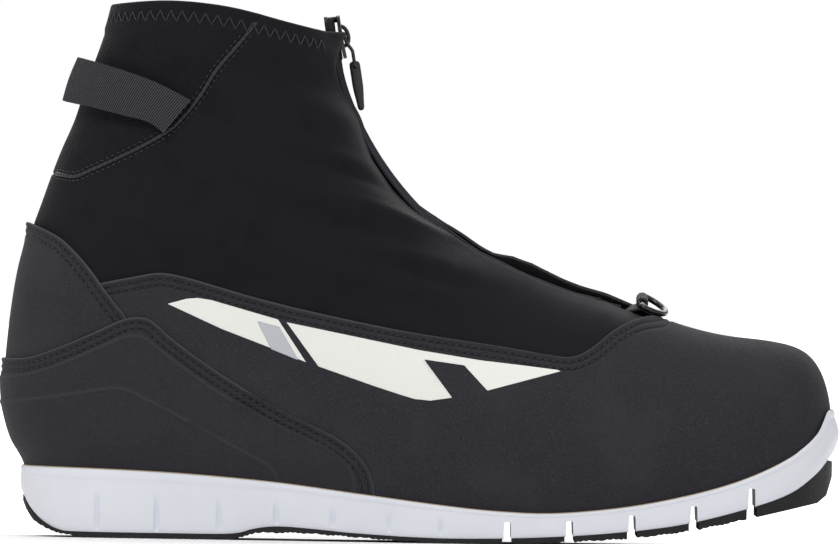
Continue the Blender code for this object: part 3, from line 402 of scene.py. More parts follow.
def clip(params, triangles, value):
    """Keep the part of a mesh where value is positive, cutting the triangles it crosses."""
    positive = value > 0
    count = positive[triangles].sum(1)
    out = [triangles[count == 3]]
    extra, found = [], {}

    def crossing(a, b):
        key = (min(a, b), max(a, b))
        if key not in found:
            share = value[a] / (value[a] - value[b])
            found[key] = len(params) + len(extra)
            extra.append(params[a] + (params[b] - params[a]) * share)
        return found[key]

    cut_faces = []
    for triangle in triangles[(count == 1) | (count == 2)]:
        ring = []
        for a, b in zip(triangle, np.roll(triangle, -1)):
            if positive[a]:
                ring.append(a)
            if positive[a] != positive[b]:
                ring.append(crossing(a, b))
        cut_faces += [(ring[0], ring[k], ring[k + 1]) for k in range(1, len(ring) - 1)]
    if extra:
        params = np.vstack((params, extra))
        out.append(np.array(cut_faces))
    return params, np.vstack(out)


def weld(params, triangles):
    """Drop unused points, and join points of the surface that lie in the same place."""
    used, triangles = np.unique(triangles, return_inverse=True)
    params, triangles = params[used], triangles.reshape(-1, 3)
    places, normals = surface(params)
    _, first, number = np.unique(np.round(places, 3), axis=0, return_index=True, return_inverse=True)
    triangles = number.ravel()[triangles]
    a, b, c = triangles.T
    return places[first], normals[first], triangles[(a != b) & (b != c) & (c != a)]


BASE_STATIONS, BASE_SAMPLES = 221, 161


def base_mesh():
    s, t = np.meshgrid(np.linspace(0, 1, BASE_STATIONS), np.linspace(-1, 1, BASE_SAMPLES), indexing="ij")
    params = np.column_stack((s.ravel(), t.ravel()))
    k, j = np.meshgrid(np.arange(BASE_STATIONS - 1), np.arange(BASE_SAMPLES - 1), indexing="ij")
    a = (k * BASE_SAMPLES + j).ravel()
    b, c, d = a + 1, a + BASE_SAMPLES + 1, a + BASE_SAMPLES
    return params, np.vstack((np.stack((a, b, c), 1), np.stack((a, c, d), 1)))


BASE = base_mesh()
BASE_SPACING = 4.0                      # no edge of the base mesh is longer than this


def panel_mesh(field, detail, fine, even):
    """Points, normals and triangles of the base surface where field(points) is positive."""
    params, triangles = BASE
    for number, reach in enumerate(fine):
        places = surface(params)[0]
        value = field(places)
        near = (np.abs(value) < reach) | (number < even)
        if detail is not None:
            near |= detail(places) < reach
        triangles = triangles[(value[triangles] > -BASE_SPACING).any(1)]
        params, triangles = split_edges(params, triangles, near)
    value = field(surface(params)[0])
    return weld(*clip(params, triangles, value))


def skin(name, material, field, heights, detail=None, edge=0.8, fine=(4.5, 2.4), even=0, marks=None):
    """Closed soft panel: heights(points) gives its inner and outer face over the base surface.

    The outer face rounds down to the inner one over the width edge around the panel's outline.
    The mesh is made finer near the outline and the detail, and everywhere in its first even passes.
    """
    places, normals, triangles = panel_mesh(field, detail, fine, even)
    reach = np.maximum(field(places), 0)
    inner, outer = heights(places)
    shoulder = 0.4 + 0.6 * rounded(reach / edge)
    top = places + normals * (inner + (outer - inner) * shoulder)[:, None]
    bottom = places + normals * np.reshape(inner, (-1, 1))
    pairs = triangles[:, [[0, 1], [1, 2], [2, 0]]].reshape(-1, 2)
    keys = np.sort(pairs, axis=1)
    _, first, counts = np.unique(keys, axis=0, return_index=True, return_counts=True)
    a, b = pairs[first[counts == 1]].T
    shift = len(places)
    upward = np.cross(places[triangles[:, 1]] - places[triangles[:, 0]],
                      places[triangles[:, 2]] - places[triangles[:, 0]])
    if (upward * normals[triangles[:, 0]]).sum() < 0:
        triangles, a, b = triangles[:, ::-1], b, a
    faces = list(triangles) + list(triangles[:, ::-1] + shift)
    faces += list(np.stack((b, a, a + shift, b + shift), axis=1))
    attributes = {"edge": np.concatenate((reach, reach))}
    for key, mark in (marks or {}).items():
        values = mark(places)
        attributes[key] = np.concatenate((values, values))
    thing = make_object(name, np.vstack((top, bottom)), faces, material, 50, attributes)
    if len(thing.data.materials) > 1:
        index = np.zeros(len(thing.data.polygons), np.int32)
        index[len(triangles):] = 1
        thing.data.polygons.foreach_set("material_index", index)
    return thing


def loft(name, rings, material, closed=False, smooth_angle=40, attributes=None):
    """Solid through equal rings of points; closed joins the last ring to the first."""
    size, count = len(rings[0]), len(rings)
    i = np.arange(size)
    following = (i + 1) % size
    faces = []
    for k in range(count if closed else count - 1):
        base, after = k * size, (k + 1) % count * size
        faces += list(np.stack((base + i, base + following, after + following, after + i), axis=1))
    if not closed:
        faces += [tuple(range(size))[::-1], tuple(range((count - 1) * size, count * size))]
    thing = make_object(name, np.vstack(rings), faces, material, smooth_angle, attributes)
    bm = bmesh.new()
    bm.from_mesh(thing.data)
    bmesh.ops.recalc_face_normals(bm, faces=bm.faces)
    bm.to_mesh(thing.data)
    bm.free()
    return thing


def frames(path, closed=False):
    """Directions across a path of points that don't twist along it."""
    path = np.asarray(path, float)
    if closed:
        forward = np.roll(path, -1, axis=0) - np.roll(path, 1, axis=0)
    else:
        forward = np.gradient(path, axis=0)
    forward /= np.linalg.norm(forward, axis=1, keepdims=True)
    side = np.array(Vector(forward[0]).orthogonal().normalized())
    sides = []
    for direction in forward:
        side = side - direction * (side @ direction)
        side = side / np.linalg.norm(side)
        sides.append(side)
    sides = np.array(sides)
    return sides, np.cross(forward, sides)


def tube(name, path, radius, material, closed=False, sides=12):
    """Round bar along a path; radius is one number or one for each point."""
    path = np.asarray(path, float)
    first, second = frames(path, closed)
    radii = np.broadcast_to(radius, (len(path),))
    turns = np.arange(sides) / sides * 2 * np.pi
    rings = [p + r * (np.outer(np.cos(turns), a) + np.outer(np.sin(turns), b))
             for p, r, a, b in zip(path, radii, first, second)]
    return loft(name, rings, material, closed)


def stitches(name, spans, material, radius=0.27, rise=0.3, sink=0.35, sides=6):
    """Sewing threads as one mesh: spans are (start, end, normal), and each thread arches between."""
    shares = np.array((0.0, 0.12, 0.35, 0.65, 0.88, 1.0))
    arch = rise * np.sin(np.pi * shares) - sink * (1 - np.sin(np.pi * shares)) ** 2
    thick = radius * np.array((0.55, 0.9, 1.0, 1.0, 0.9, 0.55))
    turns = np.arange(sides) / sides * 2 * np.pi
    vertices, faces = [], []
    for start, end, normal in spans:
        base = len(vertices)
        across = np.cross(end - start, normal)
        across /= np.linalg.norm(across)
        for share, lift, wide in zip(shares, arch, thick):
            middle = start + (end - start) * share + normal * lift
            vertices += [middle + wide * (math.cos(a) * across + math.sin(a) * normal) for a in turns]
        for k in range(len(shares) - 1):
            for i in range(sides):
                j = (i + 1) % sides
                faces.append((base + k * sides + i, base + k * sides + j,
                              base + (k + 1) * sides + j, base + (k + 1) * sides + i))
        faces.append(tuple(range(base, base + sides))[::-1])
        last = base + (len(shares) - 1) * sides
        faces.append(tuple(range(last, last + sides)))
    thing = make_object(name, vertices, faces, material, 60)
    bm = bmesh.new()
    bm.from_mesh(thing.data)
    bmesh.ops.recalc_face_normals(bm, faces=bm.faces)
    bm.to_mesh(thing.data)
    bm.free()
    return thing


def row_spans(xz, side, lift, pitch=2.7, length=1.9):
    """Spans of the stitches of one row along a line seen from the side."""
    places, normals = on_surface(evenly(np.asarray(xz), 0.5), side)
    places = places + normals * (lift(places) if callable(lift) else lift)[:, None]
    total = lengths_along(places)[-1]
    starts = np.arange(0.4, total - length, pitch)
    begin, end = along(places, starts / total), along(places, (starts + length) / total)
    facing = along(normals, (starts + length / 2) / total)
    return list(zip(begin, end, facing / np.linalg.norm(facing, axis=1, keepdims=True)))


def offset_line(line, amount):
    """A line seen from the side, moved across itself by an amount (positive to its right)."""
    direction = np.gradient(line, axis=0)
    direction /= np.linalg.norm(direction, axis=1, keepdims=True)
    return line + amount * np.stack((direction[:, 1], -direction[:, 0]), axis=1)


def boolean(target, operation, cutter):
    """Apply an exact Boolean to the target and remove the cutter."""
    modifier = target.modifiers.new(operation, 'BOOLEAN')
    modifier.operation = operation
    modifier.object = cutter
    modifier.solver = 'EXACT'
    evaluated = target.evaluated_get(bpy.context.evaluated_depsgraph_get())
    result = bpy.data.meshes.new_from_object(evaluated)
    target.modifiers.clear()
    target.data = result
    bpy.data.objects.remove(cutter)
    return target


def prism(name, outline, half, material):
    """An outline seen from the side, extruded across the boot."""
    rings = [[(x, y, z) for x, z in outline] for y in (-half, half)]
    return loft(name, rings, material, smooth_angle=25)


# ================================================================ materials
def display_colour(red, green, blue):
    """Display values, 11 to 255, as the linear values that a shader takes."""
    return [((c / 255 + 0.055) / 1.055) ** 2.4 for c in (red, green, blue)] + [1]


class Surface:
    """A Principled material under construction, with short calls for the nodes that feed it."""

    def __init__(self, name, colour, roughness, metallic=0.0, sheen=0.0, coat=0.0, specular=0.5):
        self.material = bpy.data.materials.new(name)
        self.material.use_nodes = True
        self.tree = self.material.node_tree
        self.shader = self.tree.nodes["Principled BSDF"]
        self.shader.inputs["Metallic"].default_value = metallic
        self.shader.inputs["Sheen Weight"].default_value = sheen
        self.shader.inputs["Sheen Roughness"].default_value = 0.5
        self.shader.inputs["Coat Weight"].default_value = coat
        self.shader.inputs["Specular IOR Level"].default_value = specular
        self.place = self.node("ShaderNodeTexCoord").outputs["Object"]
        rgb = self.node("ShaderNodeRGB")
        rgb.outputs[0].default_value = display_colour(*colour)
        self.colour = rgb.outputs[0]
        self.rough = self.value(roughness)
        self.bump = self.value(0.0)

    def node(self, kind, **settings):
        made = self.tree.nodes.new(kind)
        for key, value in settings.items():
            setattr(made, key, value)
        return made

    def value(self, number):
        made = self.node("ShaderNodeValue")
        made.outputs[0].default_value = number
        return made.outputs[0]

    def maths(self, operation, a, b=0.0):
        made = self.node("ShaderNodeMath", operation=operation)
        for socket, given in zip(made.inputs, (a, b)):
            if isinstance(given, (int, float)):
                socket.default_value = given
            else:
                self.tree.links.new(given, socket)
        return made.outputs[0]

    def spread(self, value, low, high, to_low=0.0, to_high=1.0):
        """Map a value from one range to another, smoothly and without going past its ends."""
        made = self.node("ShaderNodeMapRange", interpolation_type="SMOOTHSTEP")
        for key, given in (("From Min", low), ("From Max", high), ("To Min", to_low), ("To Max", to_high)):
            made.inputs[key].default_value = given
        self.tree.links.new(value, made.inputs["Value"])
        return made.outputs["Result"]

    def noise(self, pitch, detail=2.0):
        """Noise whose spots are about a pitch across, in millimetres."""
        made = self.node("ShaderNodeTexNoise")
        made.inputs["Scale"].default_value = 1 / (pitch * MM)
        made.inputs["Detail"].default_value = detail
        self.tree.links.new(self.place, made.inputs["Vector"])
        return made.outputs["Fac"]

    def cells(self, pitch):
        made = self.node("ShaderNodeTexVoronoi")
        made.inputs["Scale"].default_value = 1 / (pitch * MM)
        self.tree.links.new(self.place, made.inputs["Vector"])
        return made.outputs["Distance"]

    def ribs(self, pitch, direction, wander=0.0):
        """Waves from 0 to 1 that repeat at a pitch along a direction."""
        turned = self.node("ShaderNodeVectorMath", operation="DOT_PRODUCT")
        self.tree.links.new(self.place, turned.inputs[0])
        turned.inputs[1].default_value = np.array(direction) / np.linalg.norm(direction)
        phase = self.maths("MULTIPLY", turned.outputs["Value"], 2 * math.pi / (pitch * MM))
        if wander:
            drift = self.maths("MULTIPLY", self.noise(12, 1), wander)
            phase = self.maths("ADD", phase, drift)
        wave = self.maths("SINE", phase)
        return self.spread(wave, -1.0, 1.0)

    def attribute(self, name):
        return self.node("ShaderNodeAttribute", attribute_name=name).outputs["Fac"]

    def tint(self, colour, amount):
        """Mix the colour so far with another, by an amount."""
        made = self.node("ShaderNodeMix", data_type="RGBA")
        if isinstance(amount, (int, float)):
            made.inputs["Factor"].default_value = amount
        else:
            self.tree.links.new(amount, made.inputs["Factor"])
        self.tree.links.new(self.colour, made.inputs["A"])
        made.inputs["B"].default_value = display_colour(*colour)
        self.colour = made.outputs["Result"]

    def raise_by(self, value, amount):
        """Add to the bump height, in millimetres."""
        self.bump = self.maths("ADD", self.bump, self.maths("MULTIPLY", value, amount))

    def roughen(self, value, amount):
        self.rough = self.maths("ADD", self.rough, self.maths("MULTIPLY", value, amount))

    def done(self):
        """Join everything to the shader and give the material."""
        bump = self.node("ShaderNodeBump")
        bump.inputs["Distance"].default_value = MM
        self.tree.links.new(self.bump, bump.inputs["Height"])
        self.tree.links.new(bump.outputs["Normal"], self.shader.inputs["Normal"])
        self.tree.links.new(self.colour, self.shader.inputs["Base Color"])
        self.tree.links.new(self.rough, self.shader.inputs["Roughness"])
        return self.material


def softshell(name="softshell", colour=(40, 39, 44)):
    """Brushed softshell: matte, finely speckled, paler along its cut edge, partly its own colour and partly painted
    highlight on the rounded edge, and with painted shade along the stitched rows.
    """
    m = Surface(name, colour, 0.78, sheen=0.02, specular=0.12)
    m.tint((58, 57, 61), m.spread(m.noise(0.55, 1), 0.5, 0.72, 0, 0.5))
    m.tint((30, 29, 32), m.spread(m.noise(0.8, 1), 0.52, 0.75, 0, 0.5))
    m.tint((96, 96, 100), m.spread(m.cells(2.3), 0.08, 0.03, 0, 0.5))
    m.tint((50, 49, 53), m.spread(m.noise(26, 2), 0.45, 0.7, 0, 0.4))
    # paler band along the cut edge: partly the edge's own colour, partly painted highlight on its rounded shoulder
    m.tint((74, 74, 78), m.spread(m.attribute("edge"), 0.75, 0.15, 0, 0.7))
    # darker along the stitched rows: painted shade in the channels that the stitches draw in
    m.tint((17, 17, 19), m.spread(m.attribute("seam"), 0.55, 0.15, 0, 0.75))
    m.raise_by(m.noise(0.5, 2), 0.10)
    m.raise_by(m.noise(2.4, 1), 0.06)
    m.roughen(m.noise(3, 2), 0.12)
    return m.done()


def coated():
    """Coated overlay of the heel cap: a little smoother and more speckled than the softshell. Its cut edge is paler,
    partly painted highlight; its ridges carry a painted highlight and its stitched rows painted shade.
    """
    m = Surface("coated_fabric", (39, 38, 43), 0.7, sheen=0.02, specular=0.15)
    m.tint((54, 54, 58), m.spread(m.noise(0.45, 1), 0.5, 0.7, 0, 0.5))
    m.tint((26, 26, 29), m.spread(m.noise(0.6, 1), 0.52, 0.74, 0, 0.5))
    # paler band along the cut edge: partly the edge's own colour, partly painted highlight on its rounded shoulder
    m.tint((72, 72, 76), m.spread(m.attribute("edge"), 0.75, 0.15, 0, 0.7))
    # lighter along the moulded ridges: painted highlight on the raised lines
    m.tint((54, 54, 58), m.spread(m.attribute("ridge"), 0.9, 0.1, 0, 0.5))
    # darker along the stitched rows: painted shade in the sunken stitch channels
    m.tint((17, 17, 19), m.spread(m.attribute("seam"), 0.55, 0.15, 0, 0.75))
    m.raise_by(m.noise(0.45, 2), 0.09)
    m.roughen(m.noise(5, 2), 0.15)
    return m.done()


def stretch_fabric(name="stretch_fabric", colour=(16, 16, 20), rib=(1.0, 0.0, 0.35)):
    """Knitted stretch fabric of the gaiter, with fine wales and a soft sheen."""
    m = Surface(name, colour, 0.68, sheen=0.02, specular=0.1)
    wales = m.ribs(0.5, rib, 1.5)
    courses = m.ribs(0.45, (-rib[2], 0.0, rib[0]), 1.5)
    m.tint((27, 27, 33), m.maths("MULTIPLY", wales, m.spread(courses, 0.2, 0.9, 0.1, 0.5)))
    m.tint((11, 11, 13), m.spread(m.noise(14, 2), 0.5, 0.72, 0, 0.5))
    m.tint((70, 70, 78), m.spread(m.cells(2.6), 0.06, 0.02, 0, 0.5))
    # paler band along the cut edge: partly the edge's own colour, partly painted highlight on its rounded shoulder
    m.tint((48, 48, 54), m.spread(m.attribute("edge"), 0.6, 0.1, 0, 0.6))
    m.raise_by(wales, 0.03)
    m.raise_by(courses, 0.02)
    m.raise_by(m.noise(0.6, 1), 0.04)
    m.roughen(m.noise(6, 2), 0.1)
    return m.done()


def ribbed_fabric():
    """Twill of the Achilles panel: its ribs climb towards the front."""
    m = Surface("ribbed_fabric", (14, 14, 17), 0.7, sheen=0.02, specular=0.08)
    twill = m.ribs(0.8, (-0.55, 0.0, 0.83), 0.8)
    m.tint((28, 28, 34), m.spread(twill, 0.35, 0.95, 0, 0.7))
    m.tint((11, 11, 13), m.spread(m.noise(10, 2), 0.5, 0.75, 0, 0.5))
    # paler band along the cut edge: partly the edge's own colour, partly painted highlight on its rounded shoulder
    m.tint((44, 44, 50), m.spread(m.attribute("edge"), 0.6, 0.1, 0, 0.6))
    m.raise_by(twill, 0.09)
    m.raise_by(m.ribs(0.5, (0.93, 0.0, 0.36)), 0.05)
    m.raise_by(m.noise(0.5, 1), 0.05)
    return m.done()


def lining():
    """Brushed knit inside the gaiter and over the liner's padding."""
    m = Surface("lining", (48, 48, 52), 0.9, sheen=0.08, specular=0.2)
    m.tint((66, 66, 71), m.spread(m.noise(0.9, 2), 0.45, 0.7, 0, 0.7))
    m.tint((28, 28, 31), m.spread(m.cells(1.3), 0.3, 0.05, 0, 0.6))
    m.raise_by(m.noise(0.9, 2), 0.3)
    m.raise_by(m.cells(1.3), 0.15)
    return m.done()


def webbing():
    """Grosgrain webbing; its ribs are in the mesh. This paints a highlight on the rib crests and shade in the troughs,
    and adds the yarns.
    """
    m = Surface("webbing", (17, 17, 19), 0.7, sheen=0.02, specular=0.2)
    # painted highlight on the rib crests
    m.tint((74, 74, 80), m.spread(m.attribute("crest"), 0.5, 1.0, 0, 0.85))
    # painted shade in the troughs between the ribs
    m.tint((5, 5, 6), m.spread(m.attribute("crest"), 0.45, 0.0, 0, 0.95))
    m.tint((42, 42, 46), m.spread(m.noise(0.5, 1), 0.5, 0.75, 0, 0.4))
    m.raise_by(m.noise(0.4, 2), 0.08)
    return m.done()


def thread(name="thread", colour=(24, 24, 27)):
    """Twisted sewing thread."""
    m = Surface(name, colour, 0.5, specular=0.4)
    strands = m.ribs(0.45, (1.0, 0.3, 0.8))
    m.tint([c + 24 for c in colour], m.spread(strands, 0.4, 1.0, 0, 0.6))
    m.raise_by(strands, 0.08)
    return m.done()


def white_sole():
    """Moulded white midsole: satin, very slightly grained, with faint scuffs low down and painted bluish shade in the
    side grooves.
    """
    m = Surface("white_sole", (211, 213, 219), 0.38, coat=0.05, specular=0.35)
    m.tint((200, 203, 212), m.spread(m.noise(30, 2), 0.45, 0.75, 0, 0.35))
    m.tint((196, 196, 196), m.spread(m.noise(1.6, 3), 0.66, 0.8, 0, 0.25))
    # bluish tint in the side grooves: painted shade in the recesses
    m.tint((198, 203, 216), m.spread(m.attribute("groove"), 0.1, 0.8, 0, 0.6))
    m.raise_by(m.noise(0.7, 2), 0.03)
    m.roughen(m.noise(4, 3), 0.18)
    m.shader.inputs["Subsurface Weight"].default_value = 0.05
    m.shader.inputs["Subsurface Radius"].default_value = (0.002, 0.002, 0.002)
    return m.done()


def rubber():
    """Black tread rubber, dusty in its hollows."""
    m = Surface("rubber", (19, 19, 22), 0.6, specular=0.35)
    m.tint((34, 34, 35), m.spread(m.noise(1.5, 3), 0.52, 0.78, 0, 0.6))
    m.raise_by(m.noise(0.5, 3), 0.12)
    m.roughen(m.noise(2.5, 2), 0.2)
    return m.done()


def moulded(name, colour, roughness=0.42):
    """Spark-eroded black plastic."""
    m = Surface(name, colour, roughness, specular=0.35)
    m.tint([c + 14 for c in colour], m.spread(m.noise(0.6, 2), 0.5, 0.75, 0, 0.5))
    m.raise_by(m.noise(0.3, 2), 0.03)
    m.roughen(m.noise(1.2, 2), 0.15)
    return m.done()


def black_metal():
    """Glossy black plated metal with worn high spots."""
    m = Surface("black_metal", (13, 13, 15), 0.24, coat=0.12, specular=0.4)
    m.tint((40, 40, 42), m.spread(m.noise(1.1, 3), 0.62, 0.75, 0, 0.5))
    m.raise_by(m.noise(1.5, 2), 0.02)
    m.roughen(m.noise(0.9, 3), 0.14)
    return m.done()


def steel():
    m = Surface("steel", (172, 174, 178), 0.24, metallic=1.0)
    turned = m.ribs(0.25, (0.0, 1.0, 0.0))
    m.raise_by(turned, 0.02)
    m.roughen(m.noise(1.0, 3), 0.15)
    return m.done()


def printed(name, colour, roughness=0.5, metallic=0.0):
    """Screen print: it carries a little of the fabric's grain."""
    m = Surface(name, colour, roughness, metallic)
    m.tint([max(0, c - 16) for c in colour], m.spread(m.noise(0.7, 2), 0.55, 0.8, 0, 0.5))
    m.raise_by(m.noise(0.55, 2), 0.05)
    m.roughen(m.noise(2, 2), 0.1)
    return m.done()


def board():
    """Fibre board of the counter, puff and lasting board."""
    m = Surface("stiffener_board", (120, 112, 98), 0.85)
    m.tint((140, 131, 115), m.spread(m.noise(0.8, 3), 0.45, 0.7, 0, 0.7))
    m.raise_by(m.noise(0.6, 3), 0.1)
    return m.done()


def foam():
    """Insole foam under its knitted cover."""
    m = Surface("foam", (62, 64, 70), 0.9, sheen=0.08, specular=0.2)
    m.tint((98, 100, 108), m.spread(m.cells(1.6), 0.35, 0.1, 0, 0.6))
    m.raise_by(m.cells(1.6), 0.2)
    return m.done()


def cord():
    """Braided lace."""
    m = Surface("lace_cord", (46, 46, 50), 0.75, sheen=0.08, specular=0.3)
    braid = m.maths("MULTIPLY", m.ribs(0.9, (1.0, 0.8, 0.4)), m.ribs(0.9, (1.0, -0.8, 0.4)))
    m.tint((98, 98, 104), m.spread(braid, 0.2, 0.8, 0, 0.8))
    m.raise_by(braid, 0.15)
    return m.done()


def floor_finish():
    """Pale floor that fades into the white room away from the boot."""
    m = Surface("floor", (248, 248, 249), 0.6)
    m.tint((244, 244, 245), m.spread(m.noise(300, 2), 0.4, 0.7, 0, 0.4))
    length = m.node("ShaderNodeVectorMath", operation="LENGTH")
    m.tree.links.new(m.place, length.inputs[0])
    away = m.spread(length.outputs["Value"], 0.25, 1.1)
    m.tree.links.new(away, m.shader.inputs["Emission Strength"])
    m.shader.inputs["Emission Color"].default_value = (1, 1, 1, 1)
    return m.done()


LOOK = {
    "softshell": softshell(), "coated_fabric": coated(), "stretch_fabric": stretch_fabric(),
    "ribbed_fabric": ribbed_fabric(), "lining": lining(), "webbing": webbing(), "thread": thread(),
    "dark_thread": thread("dark_thread", (14, 14, 17)), "white_sole": white_sole(),
    "rubber": rubber(), "moulded_plastic": moulded("moulded_plastic", (27, 27, 30)),
    "zip_coil": moulded("zip_coil", (20, 20, 23), 0.35), "black_metal": black_metal(),
    "steel": steel(), "white_print": printed("white_print", (214, 215, 209)),
    "silver_print": printed("silver_print", (172, 174, 180), 0.4, 0.3), "stiffener_board": board(),
    "foam": foam(), "lace_cord": cord(), "shank_composite": moulded("shank_composite", (30, 32, 36), 0.5),
    "glue": printed("glue", (150, 132, 108), 0.6), "tape": stretch_fabric("tape", (20, 20, 23), (0.4, 0.0, 1.0)),
}


# ================================================================ outlines as fields
def closed_outline(*parts):
    return np.vstack([np.asarray(part, float) for part in parts])


def seen(places):
    return places[:, [0, 2]]


FAR_DOWN = -40.0
QUARTER_LINE = smooth(QUARTER_TOP, 5)
BACK_PANEL_LINE = smooth(BACK_TOP, 5)
CAP_LINE = smooth(CAP_TOP, 5)
SEAM_LINE = smooth(ACHILLES_SEAM, 5)
COLLAR_LINE = smooth(COLLAR_TOP, 6)
RIDGE_LINES = [smooth(points, 5) for points in CAP_RIDGES]

QUARTER_AREA = closed_outline(QUARTER_LINE, [(184, 100), (262, 100), (262, FAR_DOWN), (-10, FAR_DOWN),
                                             (-14, 60), (-24, 80)])
BACK_AREA = closed_outline(BACK_PANEL_LINE, [(6, FAR_DOWN), (-80, FAR_DOWN), (-80, 118)])
CAP_AREA = closed_outline(CAP_LINE, [(81, FAR_DOWN), (-80, FAR_DOWN), (-80, 64)])
RIDGE_AREAS = [closed_outline(line, [(line[-1, 0], FAR_DOWN), (-80, FAR_DOWN), (-80, line[0, 1])])
               for line in RIDGE_LINES]
ACHILLES_AREA = closed_outline(SEAM_LINE, [(-80, 131.6), (-80, 190)], COLLAR_LINE[COLLAR_LINE[:, 0] < 36])
GAITER_AREA = closed_outline(COLLAR_LINE, [(95, 178), (200, 120), (200, 60), (150, 50), (60, 60), (0, 74),
                                           (-22, 84), (-36, 98), (-80, 108), (-80, 190)])


def above_feather(places, below=3.0):
    """Distance over the line where the upper goes into the sole."""
    return places[:, 2] - height(FEATHER, places[:, 0]) + below


# ================================================================ lower shell
def at_sole(places, heights):
    """Thin the layers towards the sole, so that they all go in behind its edge."""
    share = smoothstep(0.5, 11, places[:, 2] - height(FEATHER, places[:, 0]))
    return 0.1 + (heights - 0.1) * share


QUARTER_ROWS = (2.1, 4.4)               # distances of the two stitched rows from a cut edge
CAP_ROWS = (2.0, 4.3)
BACK_ROWS = (2.0, 4.3)


def quarter_field(places):
    return np.minimum(inside(seen(places), QUARTER_AREA), above_feather(places))


def back_field(places):
    return np.minimum(inside(seen(places), BACK_AREA), above_feather(places))


def cap_field(places):
    return np.minimum(inside(seen(places), CAP_AREA), above_feather(places))


def rows_near(line, rows):
    """Distance to the nearest of the stitched rows that run beside a line."""
    def near(places):
        away = distance(seen(places), line)
        return np.min([np.abs(away - row) for row in rows], axis=0)
    return near


def seam_dip(places, line, rows):
    """The fabric is drawn in a little along each stitched row."""
    return -0.35 * hump(rows_near(line, rows)(places), 0.6)


def quarter_heights(places):
    """The quarter lies over the gaiter's lower edge; its cut edge stands a little proud."""
    away = distance(seen(places), QUARTER_LINE)
    sunk = 0.45 * smoothstep(2, 6, np.maximum(inside(seen(places), CAP_AREA), inside(seen(places), BACK_AREA)))
    outer = 0.15 + 0.3 * hump(away, 1.8) + seam_dip(places, QUARTER_LINE, QUARTER_ROWS) - sunk
    return -0.8 - sunk, outer


def back_heights(places):
    over_quarter = smoothstep(-1.0, 1.5, inside(seen(places), QUARTER_AREA))
    sunk = 0.5 * smoothstep(2, 6, inside(seen(places), CAP_AREA))
    edge = distance(seen(places), BACK_PANEL_LINE)
    flare = 1.9 * smoothstep(100, 114, places[:, 2]) * smoothstep(-30, -44, places[:, 0]) * hump(edge, 7)
    inner = -0.75 + 1.0 * over_quarter + flare
    outer = 0.45 + 0.55 * over_quarter + 0.25 * hump(edge, 1.8) + flare
    outer = outer + seam_dip(places, BACK_PANEL_LINE, BACK_ROWS) - sunk
    return at_sole(places, inner - sunk + 0.3) - 0.3, at_sole(places, outer)


def cap_ridge(places):
    return np.min([distance(seen(places), line) for line in RIDGE_LINES], axis=0)


def cap_heights(places):
    over_back = smoothstep(-3.5, 1.5, inside(seen(places), BACK_AREA))
    inner = 0.2 + 0.75 * over_back
    (first, step_one), (second, step_two) = [
        (hump(distance(seen(places), line), 0.8), smoothstep(-0.7, 0.7, inside(seen(places), area)))
        for line, area in zip(RIDGE_LINES, RIDGE_AREAS)]
    raised = 0.4 * first + 0.35 * second + 0.35 * step_one + 0.3 * step_two
    outer = inner + 0.75 + raised + 0.2 * hump(distance(seen(places), CAP_LINE), 1.6)
    outer = outer + seam_dip(places, CAP_LINE, CAP_ROWS)
    return at_sole(places, inner - 0.1) + 0.1, at_sole(places, outer - 0.5) + 0.5


def flex_blend(thing):
    """Bake the placement of a piece of the lower boot into its mesh."""
    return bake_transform(thing)


def edge_stitches(name, line, rows, heights, body, keep=None):
    """The two stitched rows beside a panel's cut edge, on both sides of the boot."""
    for side_name, side in SIDES:
        spans = []
        for row in rows:
            path = offset_line(evenly(line, 1.0), row)
            path = path[(path[:, 1] > height(FEATHER, path[:, 0]) + 1.5)]
            if keep is not None:
                path = path[keep(path)]
            spans += row_spans(path, side, lambda places: heights(places)[1])
        threads = stitches(f"{name}_stitches_{side_name}", spans, LOOK["thread"])
        if body == "flex":
            flex_blend(threads)
        else:
            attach(threads, body)


def lower_shell():
    """Quarter with vamp and toe in one piece, the back panel, and the heel cap over both."""
    quarter = skin("quarter_softshell", LOOK["softshell"], quarter_field, quarter_heights,
                   rows_near(QUARTER_LINE, QUARTER_ROWS), marks={"seam": rows_near(QUARTER_LINE, QUARTER_ROWS)})
    flex_blend(quarter)
    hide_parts("quarter_shell", "vamp_flex_zone", "toe_shell")
    back = skin("back_panel_softshell", LOOK["softshell"], back_field, back_heights,
                rows_near(BACK_PANEL_LINE, BACK_ROWS), marks={"seam": rows_near(BACK_PANEL_LINE, BACK_ROWS)})
    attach(back, "boot")
    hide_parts("back_panel")
    cap = skin("heel_cap_overlay", LOOK["coated_fabric"], cap_field, cap_heights,
               lambda places: np.minimum(cap_ridge(places), rows_near(CAP_LINE, CAP_ROWS)(places)),
               fine=(6.0, 4.0, 1.6), even=1,
               marks={"seam": rows_near(CAP_LINE, CAP_ROWS), "ridge": cap_ridge})
    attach(cap, "boot")
    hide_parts("heel_cap")
    edge_stitches("quarter", QUARTER_LINE, QUARTER_ROWS, quarter_heights, "flex",
                  lambda p: (inside(p, BACK_AREA) < -1) & (p[:, 0] < 174))
    edge_stitches("back_panel", BACK_PANEL_LINE, BACK_ROWS, back_heights, "boot",
                  lambda p: (inside(p, CAP_AREA) < -1) & (distance(p, BACK) > 1.0) & (inside_back(p)))
    edge_stitches("heel_cap", CAP_LINE, CAP_ROWS, cap_heights, "boot", inside_back)


def inside_back(xz):
    """True ahead of the back line."""
    return xz[:, 0] > np.interp(-xz[:, 1], -BACK[:, 1], BACK[:, 0]) + 0.6


